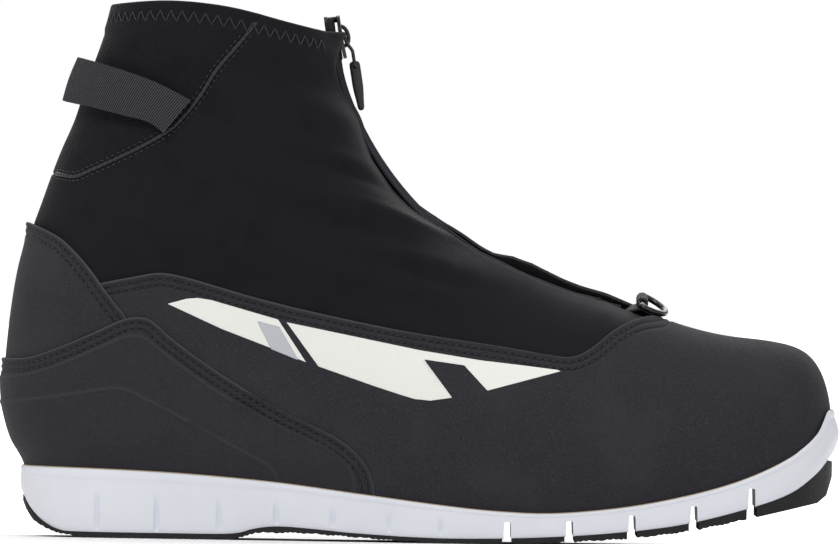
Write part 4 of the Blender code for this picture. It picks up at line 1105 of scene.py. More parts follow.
# ================================================================ gaiter
ZIP_SLOTS = {-1: 6.5, 1: 4.5}           # how far each front edge of the gaiter stays from the centre
CURL_Z, CURL_SPAN = 170.0, 6.0          # the near front edge curls in here
CORNER_Z, CORNER_SPAN = 185.0, 7.5      # and its top corner stands out here
LIFT_X = (60, 68, 74, 81, 88, 95, 101, 108, 114, 121, 127, 134, 140, 147, 153, 160, 167, 175)
NEAR_LIFT = (0, -1.0, -2.0, -4.0, -4.3, -3.7, -2.7, -1.8, -0.7, 0.3, 0.8, 0.9, 0.6, 0.2, -0.2, -0.6,
             -1.1, -1.6)                # height of the near front edge over the taut surface
FAR_LIFT = (0, -0.3, -0.8, -1.9, -1.9, -1.1, 0, 0.6, 1.6, 2.4, 4.7, 5.4, 4.8, 3.8, 3.1, 2.5, 1.8, 1.0)
LIFT_REACH = 28.0                       # the fabric comes back to the taut surface over this width
FOLDS = (                               # start, end (x, z), height, width
    ((30, 172), (67, 162.5), -2.2, 5.5), ((58, 154), (72, 150), 0.9, 5.0),
    ((50, 139), (80, 129), -0.9, 2.2), ((48, 143.5), (78, 134.5), 0.7, 3.0),
    ((38, 123), (86, 109.5), -1.7, 4.2), ((50, 128), (100, 113.5), 1.2, 4.5),
    ((84, 119), (116, 107.5), 0.8, 2.0), ((18, 107), (40, 89), -1.5, 4.0),
    ((-2, 109), (14, 98), -1.0, 3.5), ((80, 101.5), (108, 93), -1.1, 3.0),
    ((84, 106.5), (118, 96), 0.6, 3.5), ((2, 118), (30, 100), 0.9, 4.5),
    ((-24, 121), (2, 112), 0.7, 5.0), ((70, 91), (96, 83), -0.6, 3.0),
    ((46, 104), (74, 92), 0.7, 5.0), ((12, 150), (34, 128), 0.6, 8.0),
)

FOLD_DEPTH = 1.3                        # how much stronger the folds are than listed


def fold_field(places):
    """Soft folds of the gaiter, as height over the taut surface."""
    xz = seen(places)
    total = np.zeros(len(xz))
    for start, end, tall, wide in FOLDS:
        line = np.array((start, end), float)
        step = line[1] - line[0]
        share = np.clip(((xz - line[0]) @ step) / (step @ step), -0.4, 1.4)
        fade = np.cos(np.clip((share - 0.5) / 0.9, -1, 1) * np.pi / 2) ** 1.5
        across = np.abs((xz - line[0]) @ np.array((-step[1], step[0]))) / np.hypot(*step)
        total += tall * fade * hump(across, wide)
    near_seams = smoothstep(0, 7, distance(xz, SEAM_LINE)) * smoothstep(-1, 6, distance(xz, QUARTER_LINE))
    near_back = smoothstep(1, 7, distance(xz, BACK_PANEL_LINE))
    return FOLD_DEPTH * total * near_seams * near_back


def zip_edge(places):
    """Distance of the gaiter's front edge, measured across the boot; it curls back near the top."""
    curl = 3.4 * hump(places[:, 2] - CURL_Z, CURL_SPAN) * (places[:, 1] < 0)
    corner = 3.0 * hump(places[:, 2] - CORNER_Z, CORNER_SPAN) * (places[:, 1] < 0)
    slot = np.where(places[:, 1] < 0, ZIP_SLOTS[-1], ZIP_SLOTS[1])
    reach = np.abs(places[:, 1]) - slot - curl + corner
    ahead = smoothstep(30, 18, distance(seen(places), FRONT))
    return np.where(ahead > 0, reach, 50)


def gaiter_field(side):
    def field(places):
        own = side * places[:, 1] - 0.02
        area = inside(seen(places), GAITER_AREA)
        behind_seam = inside(seen(places), ACHILLES_AREA)
        return np.min((area, own, zip_edge(places), -behind_seam), axis=0)
    return field


def zip_lift(x, side):
    """Height of a front edge of the gaiter over the taut surface."""
    return np.interp(x, LIFT_X, NEAR_LIFT if side < 0 else FAR_LIFT)


def tape_lift(x, side):
    """Height of a zip tape: the slider keeps it near the zip's arc."""
    return float(np.clip(zip_lift(x, side), -1.3, 0.6))


HEM = 9.0                               # height of the folded collar hem


def hem_share(places):
    """1 on the folded hem, 0 below it."""
    return smoothstep(HEM + 0.4, HEM - 0.4, distance(seen(places), COLLAR_LINE))


def gaiter_heights(side):
    def heights(places):
        xz = seen(places)
        under = smoothstep(2.5, -1.0, inside(xz, QUARTER_AREA)) * smoothstep(2.5, -1.0, inside(xz, BACK_AREA))
        edge = zip_edge(places)
        lift = 0.35 * smoothstep(6, 0, edge)
        curl = hump(places[:, 2] - CURL_Z, CURL_SPAN) * (side < 0)
        roll = curl * (1.0 * hump(edge - 5, 3.5) - 2.2 * hump(edge, 3.0))
        corner = hump(places[:, 2] - CORNER_Z, CORNER_SPAN) * (4.0 if side < 0 else 1.0) * smoothstep(14, 0, edge)
        swell = zip_lift(places[:, 0], side) * smoothstep(LIFT_REACH, 4, np.abs(places[:, 1]))
        swell = swell * smoothstep(40, 20, distance(xz, FRONT))
        outer = -1.0 + 0.6 * under + (fold_field(places) + swell) * under + lift + roll + corner
        outer = outer + 0.55 * hem_share(places)
        return outer - 1.1 - 0.4 * hem_share(places), outer
    return heights


def achilles_field(places):
    return inside(seen(places), ACHILLES_AREA)


def achilles_heights(places):
    outer = -0.45 + 0.55 * hem_share(places)
    sag = 0.8 * hump(distance(seen(places), np.array(((-30, 150), (0, 158)), float)), 9)
    return outer - 1.1 - 0.4 * hem_share(places), outer - sag


def flap_blend(thing):
    """Bake the placement of a piece of the gaiter into its mesh."""
    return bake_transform(thing)


def gaiter():
    for side_name, side in SIDES:
        piece = skin(f"gaiter_{side_name}_fabric", (LOOK["stretch_fabric"], LOOK["lining"]),
                     gaiter_field(side), gaiter_heights(side), edge=1.2)
        flap_blend(piece)
        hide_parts(f"gaiter_flap_{side_name}", f"gaiter_instep_{side_name}", f"collar_band_{side_name}")
    achilles = skin("achilles_twill", (LOOK["ribbed_fabric"], LOOK["lining"]), achilles_field,
                    achilles_heights, edge=1.0)
    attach(achilles, "boot")
    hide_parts("achilles_panel", "collar_band_rear")


def seam_rope():
    """Overlocked seam between gaiter and Achilles panel: a raised, scalloped cord and its stitches."""
    path = evenly(SEAM_LINE[inside_back(SEAM_LINE)], 0.3)
    path = path[path[:, 1] < np.interp(path[:, 0], COLLAR_LINE[:, 0], COLLAR_LINE[:, 1]) - 3.0]
    for side_name, side in SIDES:
        places, normals = on_surface(path, side, -0.35)
        travelled = lengths_along(places)
        scallop = 0.6 + 0.3 * np.abs(np.sin(np.pi * travelled / 2.3))
        rope = tube(f"achilles_seam_{side_name}", places, scallop, LOOK["dark_thread"])
        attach(rope, "boot")
        spans = []
        for offset in (-1.5, 1.5):
            beside = offset_line(path, offset)
            spans += row_spans(beside, side, lambda places: np.full(len(places), -0.4), 2.3, 1.5)
        threads = stitches(f"achilles_stitches_{side_name}", spans, LOOK["thread"], radius=0.26)
        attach(threads, "boot")


ZIGZAG_PITCH, ZIGZAG_TALL = 2.1, 4.0


def collar_zigzag():
    """Zigzag stitch that holds the folded hem, on the flaps and on the rear of the collar."""
    line = COLLAR_LINE[(COLLAR_LINE[:, 0] > -19)] - (0, 5.6)
    line = evenly(line[(line[:, 0] < 60.5)], 0.5)
    for side_name, side in SIDES:
        middle, normals = on_surface(line, side, 0.25)
        length = lengths_along(middle)[-1]
        count = int(length / ZIGZAG_PITCH)
        shares = np.linspace(0, 1, count)
        points, facing = along(middle, shares), along(normals, shares)
        swing = np.where(np.arange(count) % 2, 0.5, -0.5) * ZIGZAG_TALL
        points = points + np.outer(swing, (0, 0, 1))
        spans = [(a, b, n / np.linalg.norm(n)) for a, b, n in zip(points, points[1:], facing)]
        split = COLLAR_SEAM[0]
        groups = (("rear", [s for s in spans if s[0][0] < split]), ("front", [s for s in spans if s[0][0] >= split]))
        for place_name, group in groups:
            threads = stitches(f"collar_zigzag_{place_name}_{side_name}", group, LOOK["thread"],
                               radius=0.23, rise=0.12, sink=0.3)
            if place_name == "rear":
                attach(threads, "boot")
            else:
                flap_blend(threads)


# ================================================================ zip
ZIP_TOP, ZIP_BOTTOM = -166.5, -99.8     # ends of the zip tapes, degrees around the zip's centre
TAPE_PROFILE = ((0.35, -1.5), (0.45, -0.85), (1.0, -0.55), (1.5, -0.8), (1.9, -1.0), (2.3, -0.75),
                (2.7, -1.0), (3.1, -1.0), (3.5, -0.78), (3.9, -1.05), (4.3, -1.1), (4.7, -0.9),
                (5.1, -1.2), (7.0, -1.75))   # across the boot, and height over the base surface
TAPE_THICK = 0.7


def under_zip(degrees, y, depth):
    """Point a depth under the base surface, beside the zip's arc."""
    x, z = zip_arc(degrees)
    width, reach = float(full_width(x, z, y)), float(height(ROUND, x))
    root = math.sqrt(max(1e-6, 1 - (y / width) ** 2))
    tilt = math.atan(reach * y / (width * width * root))
    x, z = zip_arc(degrees, reach * (1 - root) + depth * math.cos(tilt))
    return np.array((x, y - depth * math.sin(tilt), z))


def zip_tapes():
    """Two woven tapes with raised lines; the far one stands a little higher."""
    angles = np.linspace(ZIP_TOP - 6, ZIP_BOTTOM + 5, 150)
    for side_name, side in SIDES:
        rings = []
        for angle in angles:
            higher = tape_lift(zip_arc(angle)[0], side) + (-0.4 if side > 0 else 0.4)
            higher -= 1.7 * float(smoothstep(ZIP_BOTTOM - 1, ZIP_BOTTOM + 5, angle))
            top = [under_zip(angle, side * y, -h - higher) for y, h in TAPE_PROFILE]
            low = [under_zip(angle, side * y, -h - higher + TAPE_THICK) for y, h in TAPE_PROFILE[::-1]]
            rings.append(np.array(top + low))
        tape = loft(f"zip_tape_{side_name}_woven", rings, LOOK["tape"], smooth_angle=50)
        flap_blend(tape)
        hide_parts(f"zip_tape_{side_name}")


def zip_coils():
    """Coil teeth under the tapes, one bent tooth at a time, the two sides interlocked."""
    pitch = 0.72                            # degrees between teeth of one side
    for side_name, side in SIDES:
        spans = []
        for angle in np.arange(ZIP_TOP, ZIP_BOTTOM - 1, pitch):
            angle = angle + (pitch / 2 if side > 0 else 0)
            middle = (tape_lift(zip_arc(angle)[0], -1) + tape_lift(zip_arc(angle)[0], 1)) / 2
            start = under_zip(angle, side * 2.6, 1.7 - middle)
            end = under_zip(angle, -side * 0.7, 1.7 - middle)
            inward = under_zip(angle, 0, 3.4) - under_zip(angle, 0, 2.4)
            spans.append((start, end, inward))
        teeth = stitches(f"zip_coil_{side_name}_teeth", spans, LOOK["zip_coil"], radius=0.42, rise=0.25, sink=0.0)
        flap_blend(teeth)
        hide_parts(f"zip_coil_{side_name}")


BRIDGE_ANGLE = float(np.degrees(np.arctan2(*(LINK_PIN - ZIP_CENTRE)[::-1])))


def slider_point(up_zip, y, over):
    """Point near the slider: millimetres up the zip from the pin, across, and over the arc."""
    degrees = BRIDGE_ANGLE - math.degrees(up_zip / ZIP_RADIUS)
    x, z = zip_arc(degrees, -over)
    return np.array((x, y, z))


def slider_plate(over, half):
    """Shield-shaped plate of the slider, wide at the top and narrow at the tail."""
    outline = ((7.9, 0.62), (7.3, 0.86), (5.6, 1.0), (2.5, 1.0), (-2, 0.8), (-6, 0.72), (-7.4, 0.62), (-7.9, 0.35))
    outline = outline + tuple((along_zip, -wide) for along_zip, wide in outline[::-1])
    thick = 1.3
    rings = []
    for share, shrink in ((0, 0.82), (0.18, 1.0), (0.82, 1.0), (1, 0.82)):
        rings.append([slider_point(u * (0.96 + 0.04 * shrink), w * half * shrink, over + thick * share)
                      for u, w in outline])
    return rings


def zip_slider():
    """Slider at the top of the zip: two plates, the post between them, and the bridge."""
    body = loft("zip_slider_body", slider_plate(0.1, 4.1), LOOK["black_metal"])
    lower = loft("lower", slider_plate(-4.4, 3.9), LOOK["black_metal"])
    boolean(body, 'UNION', lower)
    post = [[slider_point(6.6 + 1.1 * math.cos(a), 1.3 * math.sin(a), over) for a in np.linspace(0, 2 * np.pi, 13)[:-1]]
            for over in (-4.0, 0.8)]
    boolean(body, 'UNION', loft("post", post, LOOK["black_metal"]))
    arch = [(-3.4, 0.9), (-3.3, 1.8), (-2.6, 2.8), (-1.2, 3.3), (0.4, 3.4), (2.0, 3.1), (3.2, 2.4), (3.8, 1.6), (4.0, 0.9)]
    path = np.array([slider_point(u, 0, over) for u, over in smooth(arch, 3)])
    bridge = tube("bridge", path, 0.75, LOOK["black_metal"], sides=10)
    boolean(body, 'UNION', bridge)
    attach(body, "zip_slider")
    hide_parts("slider_body")


LINK_LENGTH, LINK_HALF, LINK_WIRE, LINK_BOW = 11.6, 2.9, 0.62, 1.9
GRIP_LENGTH, GRIP_HALF = 18.0, 2.3
PULL_TILT = math.radians(9.5)


def hang(down, forward, y):
    """Point on the hanging pull, measured from its pin."""
    x, z = (LINK_PIN + down * np.array((math.sin(PULL_TILT), -math.cos(PULL_TILT)))
            + forward * np.array((math.cos(PULL_TILT), math.sin(PULL_TILT))))
    return np.array((x, y, z))


def zip_pull():
    """Bent wire link and the moulded grip that hangs from it."""
    corner = 1.1
    turns = np.linspace(0, np.pi / 2, 5)
    half = [(corner * (1 - math.sin(a)), LINK_HALF - corner * (1 - math.cos(a))) for a in turns[::-1]]
    half += [(LINK_LENGTH - corner * (1 - math.sin(a)), LINK_HALF - corner * (1 - math.cos(a))) for a in turns]
    loop = half + [(down, -y) for down, y in half[::-1]]
    path = []
    for (d0, y0), (d1, y1) in zip(loop, loop[1:] + loop[:1]):
        steps = max(1, int(math.hypot(d1 - d0, y1 - y0) / 0.8))
        path += [(d0 + (d1 - d0) * k / steps, y0 + (y1 - y0) * k / steps) for k in range(steps)]
    bow = [hang(down, LINK_BOW * float(smoothstep(1.5, 6, down)), y) for down, y in path]
    link = tube("zip_pull_link", bow, LINK_WIRE, LOOK["black_metal"], closed=True, sides=12)
    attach(link, "zip_pull")
    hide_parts("pull_link")
    start = LINK_LENGTH - 2.4
    rings = []
    for share in np.concatenate((np.linspace(0, 0.1, 5), np.linspace(0.13, 0.9, 22), np.linspace(0.93, 1, 5))):
        cap = float(rounded(np.array(min(share, 1 - share) / 0.09)))
        thick = (1.95 - 0.75 * float(smoothstep(0.45, 1.0, share))) * (0.35 + 0.65 * cap)
        rib = 0.12 * max(0.0, math.sin(share * GRIP_LENGTH * 2 * math.pi / 1.6)) if 0.3 < share < 0.85 else 0.0
        wide = GRIP_HALF * (0.55 + 0.45 * cap) - rib
        turns = np.linspace(0, 2 * np.pi, 25)[:-1]
        squared = [(math.copysign(abs(math.cos(a)) ** 0.55, math.cos(a)), math.copysign(abs(math.sin(a)) ** 0.55, math.sin(a)))
                   for a in turns]
        rings.append([hang(start + share * GRIP_LENGTH, LINK_BOW + thick * c, wide * s) for c, s in squared])
    grip = loft("zip_pull_grip", rings, LOOK["moulded_plastic"], smooth_angle=60)
    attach(grip, "zip_pull")
    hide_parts("pull_grip")


# ================================================================ ring, strap and heel loop
RING_ROLL = 0.03                        # the ring rests tilted towards the near side


def d_ring():
    """D-ring of round black wire, its straight side in the webbing."""
    bar = RING_AXIS / np.linalg.norm(RING_AXIS) + np.array((0, 0, RING_ROLL))
    bar /= np.linalg.norm(bar)
    droop = math.radians(26)
    reach = np.array((math.cos(droop), 0, -math.sin(droop)))
    reach = reach - bar * (reach @ bar)
    reach /= np.linalg.norm(reach)
    half, stem, wire = 8.0, 1.6, 1.1
    bend = np.linspace(-np.pi / 2, np.pi / 2, 33)
    path = [RING_BAR + bar * (half * math.sin(t)) + reach * (stem + 7.6 * math.cos(t)) for t in bend]
    corner = [RING_BAR + bar * (half - 1.1 * (1 - math.cos(a))) + reach * (1.1 - 1.1 * math.sin(a))
              for a in np.linspace(0.2, np.pi / 2, 5)]
    straight = [RING_BAR + bar * y for y in np.linspace(half - 2.0, -half + 2.0, 13)]
    other = [RING_BAR - bar * (half - 1.1 * (1 - math.cos(a))) + reach * (1.1 - 1.1 * math.sin(a))
             for a in np.linspace(np.pi / 2, 0.2, 5)]
    ring = tube("d_ring_wire", path + corner + straight + other, wire, LOOK["black_metal"], closed=True, sides=18)
    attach(ring, "ring")
    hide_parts("d_ring")
    strap_webbing(bar)


def strap_webbing(bar):
    """Ribbed webbing wrapped round the ring's bar and sewn down behind it."""
    inner, thick, half = 1.4, 0.8, 3.6
    turns = np.radians(np.arange(-100, 222, 8))
    lead = smooth(((-7.5, -4.6), (-5.6, -3.6), (-3.4, -2.6)), 8)
    middle = np.vstack((lead, [((inner + thick / 2) * math.cos(t), (inner + thick / 2) * math.sin(t)) for t in turns]))
    middle = evenly(middle, 0.14)
    direction = np.gradient(middle, axis=0)
    direction /= np.linalg.norm(direction, axis=1, keepdims=True)
    outward = np.stack((-direction[:, 1], direction[:, 0]), axis=1)
    travelled = lengths_along(middle)
    crest = 0.5 + 0.5 * np.sin(2 * np.pi * travelled / 0.85)
    roll = bar[2] / bar[1]
    rings, crests = [], []
    for (x, z), (ox, oz), share in zip(middle, outward, crest):
        ring = []
        for face, ys in ((-1, np.linspace(-half, half, 7)), (1, np.linspace(half, -half, 7))):
            push = face * (thick / 2 - 0.12 + 0.12 * share)
            for y in ys:
                slope = y * roll * float(smoothstep(-8.5, -2, x))
                ring.append(RING_BAR + np.array((x + ox * push, y, z + oz * push + slope)))
        rings.append(ring)
        crests += [share] * len(ring)
    strap = loft("ring_strap_webbing", rings, LOOK["webbing"], smooth_angle=70, attributes={"crest": crests})
    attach(strap, "boot")
    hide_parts("ring_strap")


def heel_loop():
    """Grosgrain pull loop: two edge lines around the heel, with a rib every 0.8 mm of its length."""
    top_line, foot_line = smooth(LOOP_TOP, 6), smooth(LOOP_FOOT, 6)
    steps = (1 - np.cos(np.pi * np.linspace(0, 1, 120) / 2))[::-1]
    edges = []
    for line in (top_line, foot_line):
        front_x = line[-1, 0]
        rear_x = min((p for p in line), key=lambda p: abs(p[0] - np.interp(-p[1], -BACK[:, 1], BACK[:, 0])))[0]
        halves = []
        for side in (-1, 1):
            xs = rear_x + (front_x - rear_x) * (1 - np.cos(np.pi / 2 * np.linspace(0, 1, 120)))
            xz = np.column_stack((xs, height(line, xs)))
            lift = 2.0 + 3.6 * smoothstep(0, 36, front_x - xs)
            halves.append(on_surface(xz, side, lift)[0])
        edges.append(np.vstack((halves[0][::-1], halves[1][1:])))
    top, foot = [along(edge, np.linspace(0, 1, 900)) for edge in edges]
    top, foot = [np.column_stack([np.convolve(np.pad(c, 12, "reflect", reflect_type="odd"), np.ones(25) / 25, "valid")
                                  for c in edge.T]) for edge in (top, foot)]
    middle = (top + foot) / 2
    travelled = lengths_along(middle)
    crest = 0.5 + 0.5 * np.sin(2 * np.pi * travelled / 0.8)
    forward = np.gradient(middle, axis=0)
    outward = np.cross(forward, top - foot)
    outward /= np.linalg.norm(outward, axis=1, keepdims=True)
    if outward[len(outward) // 2, 0] > 0:
        outward = -outward
    thick = 1.3
    rings, crests = [], []
    for a, b, out, share in zip(foot, top, outward, crest):
        rows = [a + (b - a) * w + out * (thick * face * (0.42 + 0.08 * share) + 0.5 * math.sin(math.pi * w))
                for face, ws in ((1, (0.0, 0.04, 0.3, 0.5, 0.7, 0.96, 1.0)), (-1, (1.0, 0.7, 0.3, 0.0))) for w in ws]
        rings.append(rows)
        crests += [share] * 7 + [0.5] * 4
    loop = loft("heel_loop_webbing", rings, LOOK["webbing"], smooth_angle=70, attributes={"crest": crests})
    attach(loop, "pull_loop")
    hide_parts("heel_loop")


# ================================================================ prints
def printed_shape(name, outline, side_name, side, material, hole=None):
    """Thin print on one side of the boot, following its fabric."""
    shape = np.array(outline, float)

    def field(places):
        area = inside(seen(places), shape)
        if hole is not None:
            area = np.minimum(area, -inside(seen(places), np.array(hole, float)))
        return np.minimum(area, side * places[:, 1] - 5)

    def heights(places):
        base = quarter_heights(places)[1]
        return base - 0.1, base + 0.12
    piece = skin(f"{name}_{side_name}_print", LOOK[material], field, heights, edge=0.25, fine=(4.0, 2.0, 1.0))
    flex_blend(piece)
    return piece


def prints():
    """White flashes on each quarter, with a silver block let into the rear one."""
    for side_name, side in SIDES:
        rear = printed_shape("rear_flash", REAR_FLASH, side_name, side, "white_print", SILVER)
        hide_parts(f"rear_flash_{side_name}")
        front = printed_shape("front_flash", FRONT_FLASH, side_name, side, "white_print")
        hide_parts(f"front_flash_{side_name}")
        printed_shape("silver_block", SILVER, side_name, side, "silver_print")


# ================================================================ inner boot
LACE_ROOM = 7.8


def lace_room(places):
    xz = seen(places)
    return LACE_ROOM * smoothstep(44, 20, distance(xz, FRONT)) * smoothstep(185, 150, places[:, 0])


THROAT_HALF = 17.5


def throat(places):
    """Positive ahead of the liner's throat, where the tongue shows."""
    xz = seen(places)
    ahead = 40 - distance(xz, FRONT)
    angle = np.degrees(np.arctan2(xz[:, 1] - ZIP_CENTRE[1], xz[:, 0] - ZIP_CENTRE[0]))
    above = (-114 - angle) * 2.0
    return np.min((ahead, above, THROAT_HALF - np.abs(places[:, 1])), axis=0)


def quilting(places, pitch=11.0):
    """Rounded padding between sewn channels."""
    return 0.7 * np.sqrt(np.abs(np.sin(np.pi * places[:, 2] / pitch)))


def liner():
    def body_field(places):
        top = 153 - places[:, 2] + 7 * smoothstep(0, -60, places[:, 0])
        return np.min((top, -throat(places), above_feather(places, -4.0)), axis=0)

    def body_heights(places):
        deep = lace_room(places)
        return -6.4 - deep, -4.2 - deep + quilting(places) * 0.7

    def tongue_field(places):
        angle = np.degrees(np.arctan2(places[:, 2] - ZIP_CENTRE[1], places[:, 0] - ZIP_CENTRE[0]))
        top = (angle + 163.5) * 2.0
        return np.min((throat(places) - 0.4, top), axis=0)

    def tongue_heights(places):
        deep = lace_room(places)
        return -6.4 - deep, -4.1 - deep + 0.5 * np.sqrt(np.abs(np.cos(np.pi * places[:, 1] / 17)))
    padded = skin("liner_padding", LOOK["lining"], body_field, body_heights, edge=2.0, fine=(3.0,))
    flex_blend(padded)
    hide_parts("liner")
    tongue = skin("tongue_padding", LOOK["lining"], tongue_field, tongue_heights, edge=2.0, fine=(3.0,))
    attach(tongue, "boot")
    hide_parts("tongue")
    eyestays()


def eyestays():
    """Coated strips along the throat that carry the lace loops."""
    for side_name, side in SIDES:
        def field(places, side=side):
            angle = np.degrees(np.arctan2(places[:, 2] - ZIP_CENTRE[1], places[:, 0] - ZIP_CENTRE[0]))
            across = 4.0 - np.abs(side * places[:, 1] - 22)
            return np.min((across, (angle + 160) * 2, (-118 - angle) * 2), axis=0)

        def heights(places):
            deep = lace_room(places)
            return -3.5 - deep, -2.4 - deep
        strip = skin(f"eyestay_{side_name}_strip", LOOK["coated_fabric"], field, heights, edge=0.8, fine=(3.0, 1.5))
        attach(strip, "boot")
        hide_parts(f"eyestay_{side_name}")


ROWS, ROW_ANGLES = 4, (-124.0, -157.0)
LACE_Y, LACE_DEPTH = 19.0, 7.7


def lacing():
    """Webbing loops and one braided lace, crossed between the rows."""
    rows = np.linspace(*ROW_ANGLES, ROWS)
    for side_name, side in SIDES:
        for k, angle in enumerate(rows):
            middle = under_zip(angle, side * LACE_Y, LACE_DEPTH)
            up = under_zip(angle, side * LACE_Y, LACE_DEPTH - 1) - middle
            lengthwise = under_zip(angle - 1, side * LACE_Y, LACE_DEPTH) - middle
            lengthwise /= np.linalg.norm(lengthwise)
            across = np.cross(lengthwise, up)
            ring = [middle + 2.6 * math.cos(t) * across + 1.75 * math.sin(t) * up
                    for t in np.linspace(0, 2 * np.pi, 25)[:-1]]
            loop = tube(f"lace_loop_{side_name}_{k + 1}_webbing", ring, 0.45, LOOK["lace_cord"], closed=True, sides=8)
            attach(loop, "boot")
            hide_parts(f"lace_loop_{side_name}_{k + 1}")
    path = [under_zip(rows[-1] - 12, 7, LACE_DEPTH), under_zip(rows[-1] - 6, 14, LACE_DEPTH)]
    half_row = (rows[1] - rows[0]) / 2
    for k in range(ROWS - 1, -1, -1):
        side = 1 if (ROWS - 1 - k) % 2 == 0 else -1
        path += [under_zip(rows[k] + t, side * LACE_Y, LACE_DEPTH) for t in (-1.0, 1.0)]
        if k:
            path.append(under_zip(rows[k] - half_row, 0, LACE_DEPTH + 1.6))
    path.append(under_zip(rows[0] + 3.2, 0, LACE_DEPTH + 0.6))
    for k in range(ROWS):
        side = -1 if (ROWS - 1 - k) % 2 == 0 else 1
        path += [under_zip(rows[k] + t, side * LACE_Y, LACE_DEPTH) for t in (1.0, -1.0)]
        if k < ROWS - 1:
            path.append(under_zip(rows[k] + half_row, 0, LACE_DEPTH - 0.9))
    path += [under_zip(rows[-1] - 6, -14, LACE_DEPTH), under_zip(rows[-1] - 12, -7, LACE_DEPTH)]
    lace = tube("lace_braid", smooth(path, 5), 0.8, LOOK["lace_cord"], sides=10)
    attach(lace, "boot")
    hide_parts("lace")


def insole():
    """Foam footbed, dished under the heel."""
    edge = plan_outline(-9.4)
    xs = np.linspace(-36, 216, 64)
    rings = []
    for x in xs:
        left, right = plan_width(edge, x)
        level = float(height(FEATHER, x))
        row = np.linspace(left, right, 17)
        dish = 2.2 * np.abs(np.linspace(-1, 1, 17)) ** 2.5
        top = [(x, y, level + 6.2 + d * 0.8) for y, d in zip(row, dish)]
        rings.append(top + [(x, y, level + 2.9) for y in row[::-1]])
    pad = loft("insole_foam", np.array(rings), LOOK["foam"], smooth_angle=50)
    flex_blend(pad)
    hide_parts("insole")


# ================================================================ sole
def rear_of_sole():
    """x where the back line comes down to the sole."""
    return float(BACK[np.argmin(np.abs(BACK[:, 1] - height(FEATHER, BACK[:, 0], 1.0))), 0]) + 0.05


def plan_outline(offset):
    """Outline of the upper where it meets the sole, seen from above, moved outward by an offset.

    It runs from the heel along the lateral side to the toe and back along the medial side.
    """
    grooves = [x + d for x, _, _ in SIDE_GROOVES for d in np.linspace(-2.4, 2.4, 9)]
    first, last = rear_of_sole(), 244.2
    spread = first + (last - first) * (1 - np.cos(np.pi * np.linspace(0, 1, 91))) / 2
    xs = np.unique(np.round(np.concatenate((spread, grooves)), 2))
    xs = xs[np.concatenate(([True], np.diff(xs) > 0.05))]
    level = np.column_stack((xs, height(FEATHER, xs, 1.0)))
    lateral = np.column_stack((xs, -half_width(level, np.full(len(xs), -1))))
    medial = np.column_stack((xs, half_width(level, np.full(len(xs), 1))))
    lateral[[0, -1], 1] = 0
    outline = np.vstack((lateral, medial[::-1][1:-1]))
    for _ in range(3):
        outline = (np.roll(outline, 1, axis=0) + np.roll(outline, -1, axis=0) + 6 * outline) / 8
    direction = np.roll(outline, -1, axis=0) - np.roll(outline, 1, axis=0)
    direction /= np.linalg.norm(direction, axis=1, keepdims=True)
    normal = np.stack((direction[:, 1], -direction[:, 0]), axis=1)
    return outline + normal * offset


def plan_width(outline, x):
    """The two y values of a plan outline at x."""
    half = int(np.argmax(outline[:, 0]))
    lateral, medial = outline[:half + 1], outline[half:][::-1]
    return (float(np.interp(x, lateral[:, 0], lateral[:, 1])), float(np.interp(x, medial[:, 0], medial[:, 1])))


WALL = (                                # share of the wall's height, and how far it stands out
    (0.0, -0.7), (0.03, -0.25), (0.08, 0.0), (0.2, 0.12), (0.35, 0.15), (0.5, 0.12), (0.65, 0.05),
    (0.78, 0.0), (0.84, 0.0), (0.86, 0.18), (0.93, 0.25), (0.97, 0.12), (0.99, -0.15), (1.0, -0.6),
)
TOE_BUMPER = 1.7


def sole_wall(outline, low_line, high_line, profile, x0=-1e3, x1=1e3):
    """Columns of points around a plan outline, from one line of the side view up to another."""
    direction = np.roll(outline, -1, axis=0) - np.roll(outline, 1, axis=0)
    direction /= np.linalg.norm(direction, axis=1, keepdims=True)
    normal = np.stack((direction[:, 1], -direction[:, 0]), axis=1)
    low, high = height(low_line, outline[:, 0]), height(high_line, outline[:, 0])
    columns, grooved = [], []
    for (x, y), (nx, ny), z0, z1 in zip(outline, normal, low, high):
        bumper = TOE_BUMPER * float(smoothstep(226, 245, x))
        for share, out in profile:
            z = z0 + (z1 - z0) * share
            push = out + bumper * math.sin(math.pi * min(1.0, share * 1.15))
            dent = 0.0
            for gx, g0, g1 in SIDE_GROOVES:
                tall = float(smoothstep(g0 - 1.0, g0 + 1.0, z) * smoothstep(g1 + 1.5, g1 - 2.0, z))
                dent = max(dent, tall * math.exp(-((x - gx) / 0.95) ** 4))
            push -= 0.85 * dent
            columns.append((x + nx * push, y + ny * push, z))
            grooved.append(dent)
    return np.array(columns).reshape(len(outline), len(profile), 3), np.array(grooved).reshape(len(outline), -1)


